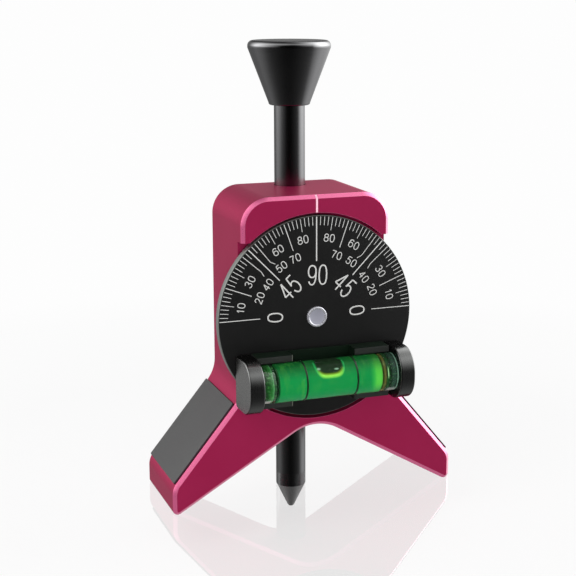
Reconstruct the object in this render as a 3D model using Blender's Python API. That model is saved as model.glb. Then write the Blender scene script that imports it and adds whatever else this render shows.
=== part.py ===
# Centre finder for pipe and round bar: a Y-shaped aluminium body straddles the pipe, a punch slides
# down its centre line, and a dial with a level vial turns in a pocket of its front face.
# Metres, +Z up. The origin is the apex of the saddle's V on the punch's axis; the dial faces -Y.

import math

import bmesh
import bpy
from mathutils import Matrix, Vector

# Fits, overruns and facets
FIT_GAP = 0.0003             # between pieces that touch or fit on the real tool
CUT_OVERRUN = 0.002          # how far a cutter runs past the face that it opens
FILLET_LIMIT_SHARE = 0.48    # the part of an edge that one of its fillets may take
LARGE_FACETS = 72            # in a full turn of the dial, the pocket and the body's fillets
MEDIUM_FACETS = 36           # in a full turn of the knob, the punch and the vial
SMALL_FACETS = 20            # in a full turn of pins, screws and washers
SMOOTH_LIMIT = math.radians(32)

# Body: a plate with a crown, a waist and two legs
BODY_DEPTH = 0.0250
REAR_WALL = 0.00095          # metal between the punch's bore and the rear face
BODY_HALF_WIDTH = 0.0194
CROWN_THICKNESS = 0.0044     # metal above the dial's pocket
CROWN_CORNER_RADIUS = 0.0071
CROWN_END_TRIM = 0.0013      # the crown's thin horns are cut square this far above their points
EDGE_CHAMFER = 0.0009
LEG_HALF_SPAN = 0.0377
LEG_SLOPE = math.radians(50.6)
NECK_HEIGHT = 0.0082         # where the leg's outer slope would meet the waist
NECK_RADIUS = 0.0092
LEG_END_RADIUS = 0.0050
FOOT_RADIUS = 0.0020
SADDLE_SLOPE = math.radians(30.2)
ARCH_RADIUS = 0.0114
SADDLE_WALL = 0.0003         # height of the pocket's lowest point over the V's apex
INDEX_WIDTH = 0.0005
INDEX_DEPTH = 0.0002

# Dial and its pocket
DIAL_RADIUS = 0.0255
DIAL_THICKNESS = 0.0022
DIAL_SUNK = 0.0003           # the dial's face lies this far behind the body's front face
DIAL_EDGE = 0.0002
POCKET_GAP = 0.0007          # round the dial's rim
POCKET_DEPTH = 0.00335

# Pivot rivet and the two washers behind the dial
RIVET_HEAD_RADIUS = 0.0025
RIVET_HEAD_THICKNESS = 0.0008
RIVET_DISH_RADIUS = 0.0017
RIVET_DISH_DEPTH = 0.0003
RIVET_EDGE = 0.00025
RIVET_SHANK_RADIUS = 0.0015
RIVET_SHANK_LENGTH = 0.0090
WASHER_OUTER_RADIUS = 0.0056
WASHER_BORE_GAP = 0.0005
FRICTION_WASHER_THICKNESS = 0.0005
WAVE_WASHER_THICKNESS = 0.0003
WAVE_HEIGHT = 0.0007
WAVE_COUNT = 3
WAVE_FACETS = 48

# Level vial: an acrylic tube with its liquid, end plugs and centring rings
VIAL_OVER_RIM = 0.0112       # the vial's axis above the lowest point of the dial's rim
VIAL_STANDOFF = 0.0057       # the vial's axis in front of the body's front face
TUBE_RADIUS = 0.00475
TUBE_BORE_RADIUS = 0.0036
LIQUID_HALF_LENGTH = 0.0137
BUBBLE_LENGTH = 0.0082
BUBBLE_WIDTH = 0.0050
BUBBLE_DEPTH = 0.0021
RING_PLACE = 0.0066          # each ring's middle, from the vial's middle
RING_WIDTH = 0.0005
RING_THICKNESS = 0.0003
RING_PROUD = 0.00005
PLUG_DISH_RADIUS = 0.0020
PLUG_DISH_DEPTH = 0.0009

# Cradle and end caps that hold the vial on the dial
CAP_RADIUS = 0.0066
CAP_THICKNESS = 0.0038
CAP_OUTER_FACE = 0.0215      # from the vial's middle
CAP_CUP_DEPTH = 0.0025
CAP_EDGE = 0.0003
CAP_BACK_RADIUS = 0.0012
SWEEP_GAP = 0.00035          # between the body's front face and what turns in front of it
CRADLE_HALF_HEIGHT = 0.0065
CRADLE_LIP = 0.0006          # the saddles' lips end this far behind the vial's axis
CRADLE_WINDOW = 0.0164       # width of the window between the two saddles
CRADLE_WEB = 0.0011          # plate left behind the window
CRADLE_FOOT_HALF_WIDTH = 0.0140
CRADLE_EDGE = 0.0003
SCREW_PLACE = 0.0112
SCREW_DROP = 0.0049          # the screws lie this far under the vial's axis
SCREW_RADIUS = 0.0008
SCREW_GAP = 0.0002
SCREW_HEAD_RADIUS = 0.0016
SCREW_HEAD_THICKNESS = 0.0008
SCREW_REACH = 0.0018         # into the cradle
SCREW_SLOT_WIDTH = 0.0004
SCREW_SLOT_DEPTH = 0.0003

# Punch and its knob
ROD_RADIUS = 0.00395
PUNCH_DROP = 0.0195          # travel down from rest
PUNCH_LIFT = 0.0290          # travel up from rest, until the point is level with the arch
KNOB_STOP_GAP = 0.0005       # knob to body at the lowest position
POINT_LENGTH = 0.0063
POINT_RADIUS = 0.0008
KNOB_BOTTOM_RADIUS = 0.0053
KNOB_RIM_RADIUS = 0.01057
KNOB_CONE_HEIGHT = 0.0148
KNOB_HEIGHT = 0.0166
KNOB_RIM_ROUND = 0.0013
KNOB_FOOT_ROUND = 0.0004
KNOB_SOCKET_DEPTH = 0.0090
ROD_SLOT_DEPTH = 0.0012

# Spring plunger that holds the punch by friction and keeps it from turning
PLUNGER_RADIUS = 0.0030
PLUNGER_LENGTH = 0.0115
PLUNGER_SUNK = 0.0005        # its outer end under the body's side face
PLUNGER_BORE_RADIUS = 0.0021
PLUNGER_LIP = 0.0008
HEX_ACROSS_FLATS = 0.0025
HEX_DEPTH = 0.0020
NOSE_RADIUS = 0.0013
NOSE_SHOULDER_RADIUS = 0.0018
NOSE_SHOULDER = 0.0010
SPRING_WIRE_RADIUS = 0.0003
SPRING_COIL_RADIUS = 0.0014
SPRING_TURNS = 5
SPRING_POINTS_PER_TURN = 10

# Grey label plates in shallow recesses of the legs
PLATE_TOP_MARGIN = 0.0032    # along the slope, from its meeting with the waist's line
PLATE_END_MARGIN = 0.0012    # along the slope, from its meeting with the leg's end
PLATE_THICKNESS = 0.0007
PLATE_PROUD = 0.0004
PLATE_FRONT_MARGIN = 0.0004  # behind the chamfer
PLATE_REAR_MARGIN = 0.0002
PLATE_CORNER_RADIUS = 0.0004

# Places worked out from the sizes above
BORE_RADIUS = ROD_RADIUS + FIT_GAP
REAR = BORE_RADIUS + REAR_WALL
FRONT = REAR - BODY_DEPTH
POCKET_RADIUS = DIAL_RADIUS + POCKET_GAP
POCKET_FLOOR = FRONT + POCKET_DEPTH
DIAL_HEIGHT = POCKET_RADIUS + SADDLE_WALL
BODY_TOP = DIAL_HEIGHT + POCKET_RADIUS + CROWN_THICKNESS
ARCH_TOP = -ARCH_RADIUS * (1 / math.cos(SADDLE_SLOPE) - 1)
DIAL_FACE = FRONT + DIAL_SUNK
DIAL_BACK = DIAL_FACE + DIAL_THICKNESS
WASHER_BORE_RADIUS = RIVET_SHANK_RADIUS + WASHER_BORE_GAP
WAVE_WASHER_PLACE = DIAL_BACK + 2 * FIT_GAP + FRICTION_WASHER_THICKNESS
WASHER_SEAT = WAVE_WASHER_PLACE + WAVE_WASHER_THICKNESS + WAVE_HEIGHT + FIT_GAP
VIAL_HEIGHT = DIAL_HEIGHT - DIAL_RADIUS + VIAL_OVER_RIM
VIAL_DEPTH = FRONT - VIAL_STANDOFF
SWEEP_PLANE = FRONT - SWEEP_GAP
CAP_INNER_FACE = CAP_OUTER_FACE - CAP_THICKNESS
TUBE_HALF_LENGTH = CAP_INNER_FACE + CAP_CUP_DEPTH - FIT_GAP
CUP_RADIUS = TUBE_RADIUS + FIT_GAP
CRADLE_HALF_LENGTH = CAP_INNER_FACE - FIT_GAP
SCREW_HOLE_RADIUS = SCREW_RADIUS + SCREW_GAP
KNOB_BOTTOM = BODY_TOP + PUNCH_DROP + KNOB_STOP_GAP
PUNCH_TIP = ARCH_TOP - PUNCH_LIFT
ROD_TOP = KNOB_BOTTOM + KNOB_SOCKET_DEPTH - FIT_GAP
PLUNGER_HEIGHT = DIAL_HEIGHT
PLUNGER_OUTER_END = BODY_HALF_WIDTH - PLUNGER_SUNK
PLUNGER_INNER_END = PLUNGER_OUTER_END - PLUNGER_LENGTH
PLUNGER_BORE_END = PLUNGER_OUTER_END - HEX_DEPTH - PLUNGER_LIP
NOSE_TIP = ROD_RADIUS - ROD_SLOT_DEPTH + FIT_GAP
SHOULDER_PLACE = PLUNGER_INNER_END + PLUNGER_LIP + FIT_GAP


def material(name, colour, roughness, metallic):
    result = bpy.data.materials.new(name)
    result.use_nodes = True
    shader = result.node_tree.nodes["Principled BSDF"]
    shader.inputs["Base Color"].default_value = (*colour, 1)
    shader.inputs["Roughness"].default_value = roughness
    shader.inputs["Metallic"].default_value = metallic
    result.diffuse_color = (*colour, 1)
    return result


def make_object(name, mesh_builder, finish=None):
    # Turns a bmesh into a named object; smooth over shallow angles, sharp over steep ones
    bmesh.ops.remove_doubles(mesh_builder, verts=mesh_builder.verts, dist=FIT_GAP / 1000)
    bmesh.ops.recalc_face_normals(mesh_builder, faces=mesh_builder.faces)
    mesh = bpy.data.meshes.new(name)
    mesh_builder.to_mesh(mesh)
    mesh_builder.free()
    mesh.shade_smooth()
    mesh.set_sharp_from_angle(angle=SMOOTH_LIMIT)
    result = bpy.data.objects.new(name, mesh)
    bpy.context.scene.collection.objects.link(result)
    if finish:
        mesh.materials.append(finish)
    return result


def cut(piece, cutter):
    # Takes the cutter's shape out of the piece; the cutter stays as a hidden guide
    cutter.hide_render = True
    cutter.display_type = "WIRE"
    step = piece.modifiers.new(cutter.name, "BOOLEAN")
    step.operation = "DIFFERENCE"
    step.solver = "EXACT"
    step.object = cutter


def rounded_outline(corners, facets):
    # Corners are (across, up, fillet radius); each fillet is limited by its shorter edge
    points = []
    for index, (across, up, radius) in enumerate(corners):
        here = Vector((across, up))
        to_last = Vector(corners[index - 1][:2]) - here
        to_next = Vector(corners[(index + 1) % len(corners)][:2]) - here
        half_angle = to_last.angle(to_next) / 2
        room = FILLET_LIMIT_SHARE * min(to_last.length, to_next.length)
        reach = min(radius / math.tan(half_angle), room)
        if reach == 0:
            points.append(here)
            continue
        radius = reach * math.tan(half_angle)
        middle = to_last.normalized() + to_next.normalized()
        centre = here + middle.normalized() * radius / math.sin(half_angle)
        start = here + to_last.normalized() * reach - centre
        turn = math.pi - 2 * half_angle
        side = math.copysign(1, to_next.cross(to_last))
        count = max(2, math.ceil(facets * turn / math.tau))
        for step in range(count + 1):
            angle = side * turn * step / count
            points.append(centre + Matrix.Rotation(angle, 2) @ start)
    return points


def prism(name, outline, place, finish=None):
    # Fills the outline, given as 3-D points, and extrudes it by the vector place
    builder = bmesh.new()
    base = builder.faces.new([builder.verts.new(point) for point in outline])
    swept = bmesh.ops.extrude_face_region(builder, geom=[base])["geom"]
    bmesh.ops.translate(builder, verts=[v for v in swept if isinstance(v, bmesh.types.BMVert)], vec=place)
    return make_object(name, builder, finish)


def box(name, low, high, finish=None):
    outline = [Vector((low[0], low[1], low[2])), Vector((high[0], low[1], low[2])),
               Vector((high[0], high[1], low[2])), Vector((low[0], high[1], low[2]))]
    return prism(name, outline, Vector((0, 0, high[2] - low[2])), finish)


def turned(name, profile, facets, axis="Z", place=(0, 0, 0), finish=None):
    # Spins a closed profile of (radius, along) points about an axis through place
    builder = bmesh.new()
    verts = [builder.verts.new((radius, 0, along)) for radius, along in profile]
    for index, vert in enumerate(verts):
        builder.edges.new((vert, verts[(index + 1) % len(verts)]))
    bmesh.ops.spin(builder, geom=builder.verts[:] + builder.edges[:], axis=(0, 0, 1), cent=(0, 0, 0),
                   angle=math.tau, steps=facets, use_merge=True, use_duplicate=False)
    bmesh.ops.remove_doubles(builder, verts=builder.verts, dist=FIT_GAP / 1000)
    bmesh.ops.dissolve_degenerate(builder, edges=builder.edges, dist=FIT_GAP / 1000)
    aim = {"Z": Matrix.Identity(4),
           "X": Matrix.Rotation(math.pi / 2, 4, "Y"),
           "Y": Matrix.Rotation(-math.pi / 2, 4, "X")}[axis]
    builder.transform(Matrix.Translation(place) @ aim)
    return make_object(name, builder, finish)


def cylinder(name, radius, start, end, facets, axis="Z", place=(0, 0, 0), finish=None):
    return turned(name, [(0, start), (radius, start), (radius, end), (0, end)], facets, axis, place, finish)


def arc(centre, radius, first, last, count):
    # Points of (radius, along) on a quarter round or other arc of a turned profile
    points = []
    for step in range(count + 1):
        angle = first + (last - first) * step / count
        points.append((centre[0] + radius * math.cos(angle), centre[1] + radius * math.sin(angle)))
    return points


def leg_end_top():
    return NECK_HEIGHT - math.tan(LEG_SLOPE) * (LEG_HALF_SPAN - BODY_HALF_WIDTH)


def leg_end_bottom():
    return -math.tan(SADDLE_SLOPE) * LEG_HALF_SPAN


def body_outline():
    # Right half from the arch round the foot to the crown, then the same mirrored
    right = [(LEG_HALF_SPAN, leg_end_bottom(), FOOT_RADIUS),
             (LEG_HALF_SPAN, leg_end_top(), LEG_END_RADIUS),
             (BODY_HALF_WIDTH, NECK_HEIGHT, NECK_RADIUS),
             (BODY_HALF_WIDTH, BODY_TOP, CROWN_CORNER_RADIUS)]
    left = [(-across, up, radius) for across, up, radius in reversed(right)]
    return rounded_outline([(0, 0, ARCH_RADIUS)] + right + left, LARGE_FACETS)


def body_blank(finish):
    # Extruded outline with a chamfer round the whole front edge
    builder = bmesh.new()
    outline = [(point.x, FRONT, point.y) for point in body_outline()]
    base = builder.faces.new([builder.verts.new(point) for point in outline])
    swept = bmesh.ops.extrude_face_region(builder, geom=[base])["geom"]
    far_verts = [v for v in swept if isinstance(v, bmesh.types.BMVert)]
    bmesh.ops.translate(builder, verts=far_verts, vec=(0, BODY_DEPTH, 0))
    front_edges = [e for e in builder.edges if all(v.co.y < FRONT + FIT_GAP for v in e.verts)]
    bmesh.ops.bevel(builder, geom=front_edges, offset=EDGE_CHAMFER, offset_type="OFFSET",
                    segments=1, profile=0.5, affect="EDGES")
    return make_object("y_body", builder, finish)


def y_body(finish):
    body = body_blank(finish)
    beyond = BODY_HALF_WIDTH + CUT_OVERRUN
    # One stepped cutter opens the dial's pocket, the washers' seat and the rivet's hole
    seat_radius = WASHER_OUTER_RADIUS + FIT_GAP
    hole_radius = RIVET_SHANK_RADIUS + FIT_GAP
    hole_end = DIAL_FACE + RIVET_SHANK_LENGTH + FIT_GAP
    steps = [(0, FRONT - CUT_OVERRUN), (POCKET_RADIUS, FRONT - CUT_OVERRUN), (POCKET_RADIUS, POCKET_FLOOR),
             (seat_radius, POCKET_FLOOR), (seat_radius, WASHER_SEAT), (hole_radius, WASHER_SEAT),
             (hole_radius, hole_end), (0, hole_end)]
    cut(body, turned("pocket_cutter", steps, LARGE_FACETS, "Y", (0, 0, DIAL_HEIGHT)))
    horn_point = DIAL_HEIGHT + math.sqrt(POCKET_RADIUS ** 2 - BODY_HALF_WIDTH ** 2)
    horn_end = horn_point + CROWN_END_TRIM
    horn_inner = math.sqrt(POCKET_RADIUS ** 2 - (horn_end - DIAL_HEIGHT) ** 2) - FIT_GAP
    for side, name in ((-1, "left"), (1, "right")):
        near, far = sorted((side * horn_inner, side * beyond))
        cut(body, box(f"horn_trim_{name}_cutter", (near, FRONT - CUT_OVERRUN, DIAL_HEIGHT),
                      (far, POCKET_FLOOR, horn_end)))
    cut(body, cylinder("punch_bore_cutter", BORE_RADIUS, ARCH_TOP - BORE_RADIUS - CUT_OVERRUN,
                       BODY_TOP + CUT_OVERRUN, MEDIUM_FACETS))
    cut(body, cylinder("plunger_bore_cutter", PLUNGER_RADIUS + FIT_GAP, 0, beyond,
                       SMALL_FACETS, "X", (0, 0, PLUNGER_HEIGHT)))
    cut(body, box("index_line_cutter", (-INDEX_WIDTH / 2, FRONT - CUT_OVERRUN, DIAL_HEIGHT),
                  (INDEX_WIDTH / 2, FRONT + INDEX_DEPTH, BODY_TOP + CUT_OVERRUN)))
    recess_floor = PLATE_PROUD - PLATE_THICKNESS - FIT_GAP
    for side in (-1, 1):
        cut(body, plate_block(side, FIT_GAP, CUT_OVERRUN, recess_floor, CUT_OVERRUN, "plate_recess_cutter"))
    return body


def plate_block(side, grow, rear_grow, low, high, name, finish=None):
    # A slab on the leg's outer slope, from low to high along the slope's outward normal
    slope_run = Vector((side * math.cos(LEG_SLOPE), 0, -math.sin(LEG_SLOPE)))
    outward = Vector((side * math.sin(LEG_SLOPE), 0, math.cos(LEG_SLOPE)))
    top = Vector((side * BODY_HALF_WIDTH, 0, NECK_HEIGHT))
    bottom = Vector((side * LEG_HALF_SPAN, 0, leg_end_top()))
    first = PLATE_TOP_MARGIN - grow
    last = (bottom - top).length - PLATE_END_MARGIN + grow
    front = FRONT + EDGE_CHAMFER + PLATE_FRONT_MARGIN - grow
    rear = REAR - PLATE_REAR_MARGIN + rear_grow
    radius = PLATE_CORNER_RADIUS + grow
    flat = rounded_outline([(first, front, radius), (last, front, radius),
                            (last, rear, radius), (first, rear, radius)], SMALL_FACETS)
    outline = [top + slope_run * p.x + Vector((0, p.y, 0)) + outward * low for p in flat]
    side_name = "left" if side < 0 else "right"
    return prism(f"{name}_{side_name}", outline, outward * (high - low), finish)


def label_plates(finish):
    for side in (-1, 1):
        plate_block(side, 0, 0, PLATE_PROUD - PLATE_THICKNESS, PLATE_PROUD, "label_plate", finish)


def pivot_rivet(finish):
    head_back = DIAL_FACE - FIT_GAP
    head_front = head_back - RIVET_HEAD_THICKNESS
    rim = RIVET_HEAD_RADIUS - RIVET_EDGE
    profile = [(0, head_front + RIVET_DISH_DEPTH),
               (RIVET_DISH_RADIUS, head_front + RIVET_DISH_DEPTH),
               (RIVET_DISH_RADIUS + RIVET_EDGE, head_front),
               (rim, head_front),
               (RIVET_HEAD_RADIUS, head_front + RIVET_EDGE),
               (RIVET_HEAD_RADIUS, head_back),
               (RIVET_SHANK_RADIUS, head_back),
               (RIVET_SHANK_RADIUS, DIAL_FACE + RIVET_SHANK_LENGTH - RIVET_EDGE),
               (RIVET_SHANK_RADIUS - RIVET_EDGE, DIAL_FACE + RIVET_SHANK_LENGTH),
               (0, DIAL_FACE + RIVET_SHANK_LENGTH)]
    return turned("pivot_rivet", profile, SMALL_FACETS, "Y", (0, 0, DIAL_HEIGHT), finish)


def friction_washer(finish):
    near = DIAL_BACK + FIT_GAP
    far = near + FRICTION_WASHER_THICKNESS
    profile = [(WASHER_BORE_RADIUS, near), (WASHER_OUTER_RADIUS, near),
               (WASHER_OUTER_RADIUS, far), (WASHER_BORE_RADIUS, far)]
    return turned("friction_washer", profile, SMALL_FACETS, "Y", (0, 0, DIAL_HEIGHT), finish)


def wave_washer(finish):
    # A spring washer: a flat ring whose face rises and falls round the circle
    builder = bmesh.new()
    rings = []
    for step in range(WAVE_FACETS):
        angle = math.tau * step / WAVE_FACETS
        lift = WAVE_HEIGHT * (1 + math.cos(WAVE_COUNT * angle)) / 2
        section = []
        for radius, level in ((WASHER_BORE_RADIUS, 0), (WASHER_OUTER_RADIUS, 0),
                              (WASHER_OUTER_RADIUS, WAVE_WASHER_THICKNESS),
                              (WASHER_BORE_RADIUS, WAVE_WASHER_THICKNESS)):
            section.append(builder.verts.new((radius * math.cos(angle), WAVE_WASHER_PLACE + lift + level,
                                              DIAL_HEIGHT + radius * math.sin(angle))))
        rings.append(section)
    for index, section in enumerate(rings):
        after = rings[(index + 1) % WAVE_FACETS]
        for corner in range(4):
            turn_on = (corner + 1) % 4
            builder.faces.new((section[corner], section[turn_on], after[turn_on], after[corner]))
    return make_object("wave_washer", builder, finish)


def dial_disc(finish):
    edge = DIAL_RADIUS - DIAL_EDGE
    hole = RIVET_SHANK_RADIUS + FIT_GAP
    profile = [(hole, DIAL_FACE), (edge, DIAL_FACE), (DIAL_RADIUS, DIAL_FACE + DIAL_EDGE),
               (DIAL_RADIUS, DIAL_BACK - DIAL_EDGE), (edge, DIAL_BACK), (hole, DIAL_BACK)]
    disc = turned("dial_disc", profile, LARGE_FACETS, "Y", (0, 0, DIAL_HEIGHT), finish)
    head_seat = DIAL_BACK - SCREW_HEAD_THICKNESS - FIT_GAP
    seat_radius = SCREW_HEAD_RADIUS + FIT_GAP
    steps = [(0, DIAL_FACE - CUT_OVERRUN), (SCREW_HOLE_RADIUS, DIAL_FACE - CUT_OVERRUN),
             (SCREW_HOLE_RADIUS, head_seat), (seat_radius, head_seat),
             (seat_radius, DIAL_BACK + CUT_OVERRUN), (0, DIAL_BACK + CUT_OVERRUN)]
    for side, name in ((-1, "left"), (1, "right")):
        place = (side * SCREW_PLACE, 0, VIAL_HEIGHT - SCREW_DROP)
        cut(disc, turned(f"dial_hole_{name}_cutter", steps, SMALL_FACETS, "Y", place))
    return disc


def cradle_screws(finish):
    head_top = DIAL_BACK - FIT_GAP
    head_seat = head_top - SCREW_HEAD_THICKNESS + FIT_GAP
    tip = DIAL_FACE - FIT_GAP - SCREW_REACH
    profile = [(0, tip), (SCREW_RADIUS, tip), (SCREW_RADIUS, head_seat),
               (SCREW_HEAD_RADIUS, head_seat), (SCREW_HEAD_RADIUS, head_top), (0, head_top)]
    for side, name in ((-1, "left"), (1, "right")):
        place = (side * SCREW_PLACE, 0, VIAL_HEIGHT - SCREW_DROP)
        screw = turned(f"cradle_screw_{name}", profile, SMALL_FACETS, "Y", place, finish)
        slot_half = SCREW_SLOT_WIDTH / 2
        reach = SCREW_HEAD_RADIUS + CUT_OVERRUN
        cut(screw, box(f"screw_slot_{name}_cutter",
                       (place[0] - reach, head_top - SCREW_SLOT_DEPTH, place[2] - slot_half),
                       (place[0] + reach, head_top + CUT_OVERRUN, place[2] + slot_half)))


def u_outline(half_height, front_radius, back, back_radius, front_limit=None):
    # Section across the vial: a round or a cut-off front, straight sides and a flat back
    if front_limit is None:
        corners = [(back, -half_height, back_radius), (VIAL_DEPTH - front_radius, -half_height, front_radius),
                   (VIAL_DEPTH - front_radius, half_height, front_radius), (back, half_height, back_radius)]
    else:
        corners = [(back, -half_height, 0), (front_limit, -half_height, CRADLE_EDGE),
                   (front_limit, half_height, CRADLE_EDGE), (back, half_height, 0)]
    return [(point.x, VIAL_HEIGHT + point.y) for point in rounded_outline(corners, MEDIUM_FACETS)]


def vial_cradle(finish):
    outline = u_outline(CRADLE_HALF_HEIGHT, 0, SWEEP_PLANE, 0, VIAL_DEPTH + CRADLE_LIP)
    cradle = prism("vial_cradle", [(-CRADLE_HALF_LENGTH, depth, up) for depth, up in outline],
                   Vector((2 * CRADLE_HALF_LENGTH, 0, 0)), finish)
    foot = box("cradle_foot_joined", (-CRADLE_FOOT_HALF_WIDTH, SWEEP_PLANE - FIT_GAP,
                                      VIAL_HEIGHT - CRADLE_HALF_HEIGHT + CRADLE_EDGE),
               (CRADLE_FOOT_HALF_WIDTH, DIAL_FACE - FIT_GAP, VIAL_HEIGHT + CRADLE_HALF_HEIGHT - CRADLE_EDGE))
    cut(cradle, foot)
    cradle.modifiers[-1].operation = "UNION"
    axis_place = (0, VIAL_DEPTH, VIAL_HEIGHT)
    cut(cradle, cylinder("trough_cutter", CUP_RADIUS, -CRADLE_HALF_LENGTH - CUT_OVERRUN,
                         CRADLE_HALF_LENGTH + CUT_OVERRUN, MEDIUM_FACETS, "X", axis_place))
    reach = CRADLE_HALF_HEIGHT + CUT_OVERRUN
    cut(cradle, box("window_cutter", (-CRADLE_WINDOW / 2, VIAL_DEPTH - CUT_OVERRUN, VIAL_HEIGHT - reach),
                    (CRADLE_WINDOW / 2, DIAL_FACE - FIT_GAP - CRADLE_WEB, VIAL_HEIGHT + reach)))
    for side, name in ((-1, "left"), (1, "right")):
        place = (side * SCREW_PLACE, 0, VIAL_HEIGHT - SCREW_DROP)
        cut(cradle, cylinder(f"cradle_hole_{name}_cutter", SCREW_HOLE_RADIUS,
                             DIAL_FACE - 2 * FIT_GAP - SCREW_REACH, DIAL_FACE + CUT_OVERRUN,
                             SMALL_FACETS, "Y", place))
    return cradle


def vial_tube(finish):
    groove = TUBE_RADIUS + RING_PROUD - RING_THICKNESS - FIT_GAP
    groove_half = RING_WIDTH / 2 + FIT_GAP
    outer = [(TUBE_RADIUS, -TUBE_HALF_LENGTH)]
    for middle in (-RING_PLACE, RING_PLACE):
        outer += [(TUBE_RADIUS, middle - groove_half), (groove, middle - groove_half),
                  (groove, middle + groove_half), (TUBE_RADIUS, middle + groove_half)]
    outer.append((TUBE_RADIUS, TUBE_HALF_LENGTH))
    profile = outer + [(TUBE_BORE_RADIUS, TUBE_HALF_LENGTH), (TUBE_BORE_RADIUS, -TUBE_HALF_LENGTH)]
    return turned("vial_tube", profile, MEDIUM_FACETS, "X", (0, VIAL_DEPTH, VIAL_HEIGHT), finish)


def vial_fluid(finish):
    # The bubble is a hollow in the liquid's top, under the tube's wall
    radius = TUBE_BORE_RADIUS - FIT_GAP
    fluid = cylinder("vial_fluid", radius, -LIQUID_HALF_LENGTH, LIQUID_HALF_LENGTH, SMALL_FACETS,
                     "X", (0, VIAL_DEPTH, VIAL_HEIGHT), finish)
    builder = bmesh.new()
    bmesh.ops.create_uvsphere(builder, u_segments=SMALL_FACETS, v_segments=SMALL_FACETS // 2,
                              radius=1)
    bmesh.ops.scale(builder, verts=builder.verts, vec=(BUBBLE_LENGTH / 2, BUBBLE_WIDTH / 2, BUBBLE_DEPTH))
    bmesh.ops.translate(builder, verts=builder.verts, vec=(0, VIAL_DEPTH, VIAL_HEIGHT + radius))
    cut(fluid, make_object("bubble_cutter", builder))
    return fluid


def vial_plugs(finish):
    radius = TUBE_BORE_RADIUS - FIT_GAP
    inner = LIQUID_HALF_LENGTH + FIT_GAP
    outer = TUBE_HALF_LENGTH
    for side, name in ((-1, "left"), (1, "right")):
        profile = [(0, side * inner), (radius, side * inner), (radius, side * outer),
                   (PLUG_DISH_RADIUS, side * outer), (PLUG_DISH_RADIUS, side * (outer - PLUG_DISH_DEPTH)),
                   (0, side * (outer - PLUG_DISH_DEPTH))]
        turned(f"vial_plug_{name}", profile, SMALL_FACETS, "X", (0, VIAL_DEPTH, VIAL_HEIGHT), finish)


def vial_rings(finish):
    outer = TUBE_RADIUS + RING_PROUD
    inner = outer - RING_THICKNESS
    for side, name in ((-1, "left"), (1, "right")):
        near = side * RING_PLACE - RING_WIDTH / 2
        far = side * RING_PLACE + RING_WIDTH / 2
        turned(f"vial_ring_{name}", [(inner, near), (outer, near), (outer, far), (inner, far)],
               MEDIUM_FACETS, "X", (0, VIAL_DEPTH, VIAL_HEIGHT), finish)


def end_caps(finish):
    # Cups with a round front and a flat back that clears the body as the dial turns
    for side, name in ((-1, "left"), (1, "right")):
        outline = u_outline(CAP_RADIUS, CAP_RADIUS, SWEEP_PLANE, CAP_BACK_RADIUS)
        cap = prism(f"end_cap_{name}", [(side * CAP_INNER_FACE, depth, up) for depth, up in outline],
                    Vector((side * CAP_THICKNESS, 0, 0)), finish)
        edge = cap.modifiers.new("edge", "BEVEL")
        edge.width = CAP_EDGE
        edge.segments = 1
        edge.limit_method = "ANGLE"
        edge.angle_limit = SMOOTH_LIMIT
        start = side * (CAP_INNER_FACE - CUT_OVERRUN)
        end = side * (CAP_INNER_FACE + CAP_CUP_DEPTH)
        cut(cap, cylinder(f"cup_{name}_cutter", CUP_RADIUS, start, end, MEDIUM_FACETS, "X",
                          (0, VIAL_DEPTH, VIAL_HEIGHT)))


def punch_rod(finish):
    # Round rod with a rounded centre-punch point and a slot for the plunger's nose
    cone_angle = math.atan2(ROD_RADIUS, POINT_LENGTH)
    tip_centre = (0, PUNCH_TIP + POINT_RADIUS)
    profile = arc(tip_centre, POINT_RADIUS, -math.pi / 2, -cone_angle, 4)
    profile += [(ROD_RADIUS, PUNCH_TIP + POINT_LENGTH), (ROD_RADIUS, ROD_TOP), (0, ROD_TOP)]
    rod = turned("punch_rod", profile, MEDIUM_FACETS, finish=finish)
    slot_half = NOSE_RADIUS + FIT_GAP
    low = PLUNGER_HEIGHT - PUNCH_LIFT - slot_half
    high = PLUNGER_HEIGHT + PUNCH_DROP + slot_half
    cut(rod, box("rod_slot_cutter", (ROD_RADIUS - ROD_SLOT_DEPTH, -slot_half, low),
                 (ROD_RADIUS + CUT_OVERRUN, slot_half, high)))
    return rod


def striking_knob(finish):
    top = KNOB_BOTTOM + KNOB_HEIGHT
    rim_level = KNOB_BOTTOM + KNOB_CONE_HEIGHT
    round_centre = (KNOB_RIM_RADIUS - KNOB_RIM_ROUND, top - KNOB_RIM_ROUND)
    foot_centre = (KNOB_BOTTOM_RADIUS - KNOB_FOOT_ROUND, KNOB_BOTTOM + KNOB_FOOT_ROUND)
    socket = ROD_RADIUS + FIT_GAP
    profile = [(socket, KNOB_BOTTOM)] + arc(foot_centre, KNOB_FOOT_ROUND, -math.pi / 2, 0, 3)
    profile += [(KNOB_RIM_RADIUS, rim_level)] + arc(round_centre, KNOB_RIM_ROUND, 0, math.pi / 2, 4)
    profile += [(0, top), (0, KNOB_BOTTOM + KNOB_SOCKET_DEPTH), (socket, KNOB_BOTTOM + KNOB_SOCKET_DEPTH)]
    return turned("striking_knob", profile, MEDIUM_FACETS, finish=finish)


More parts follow.
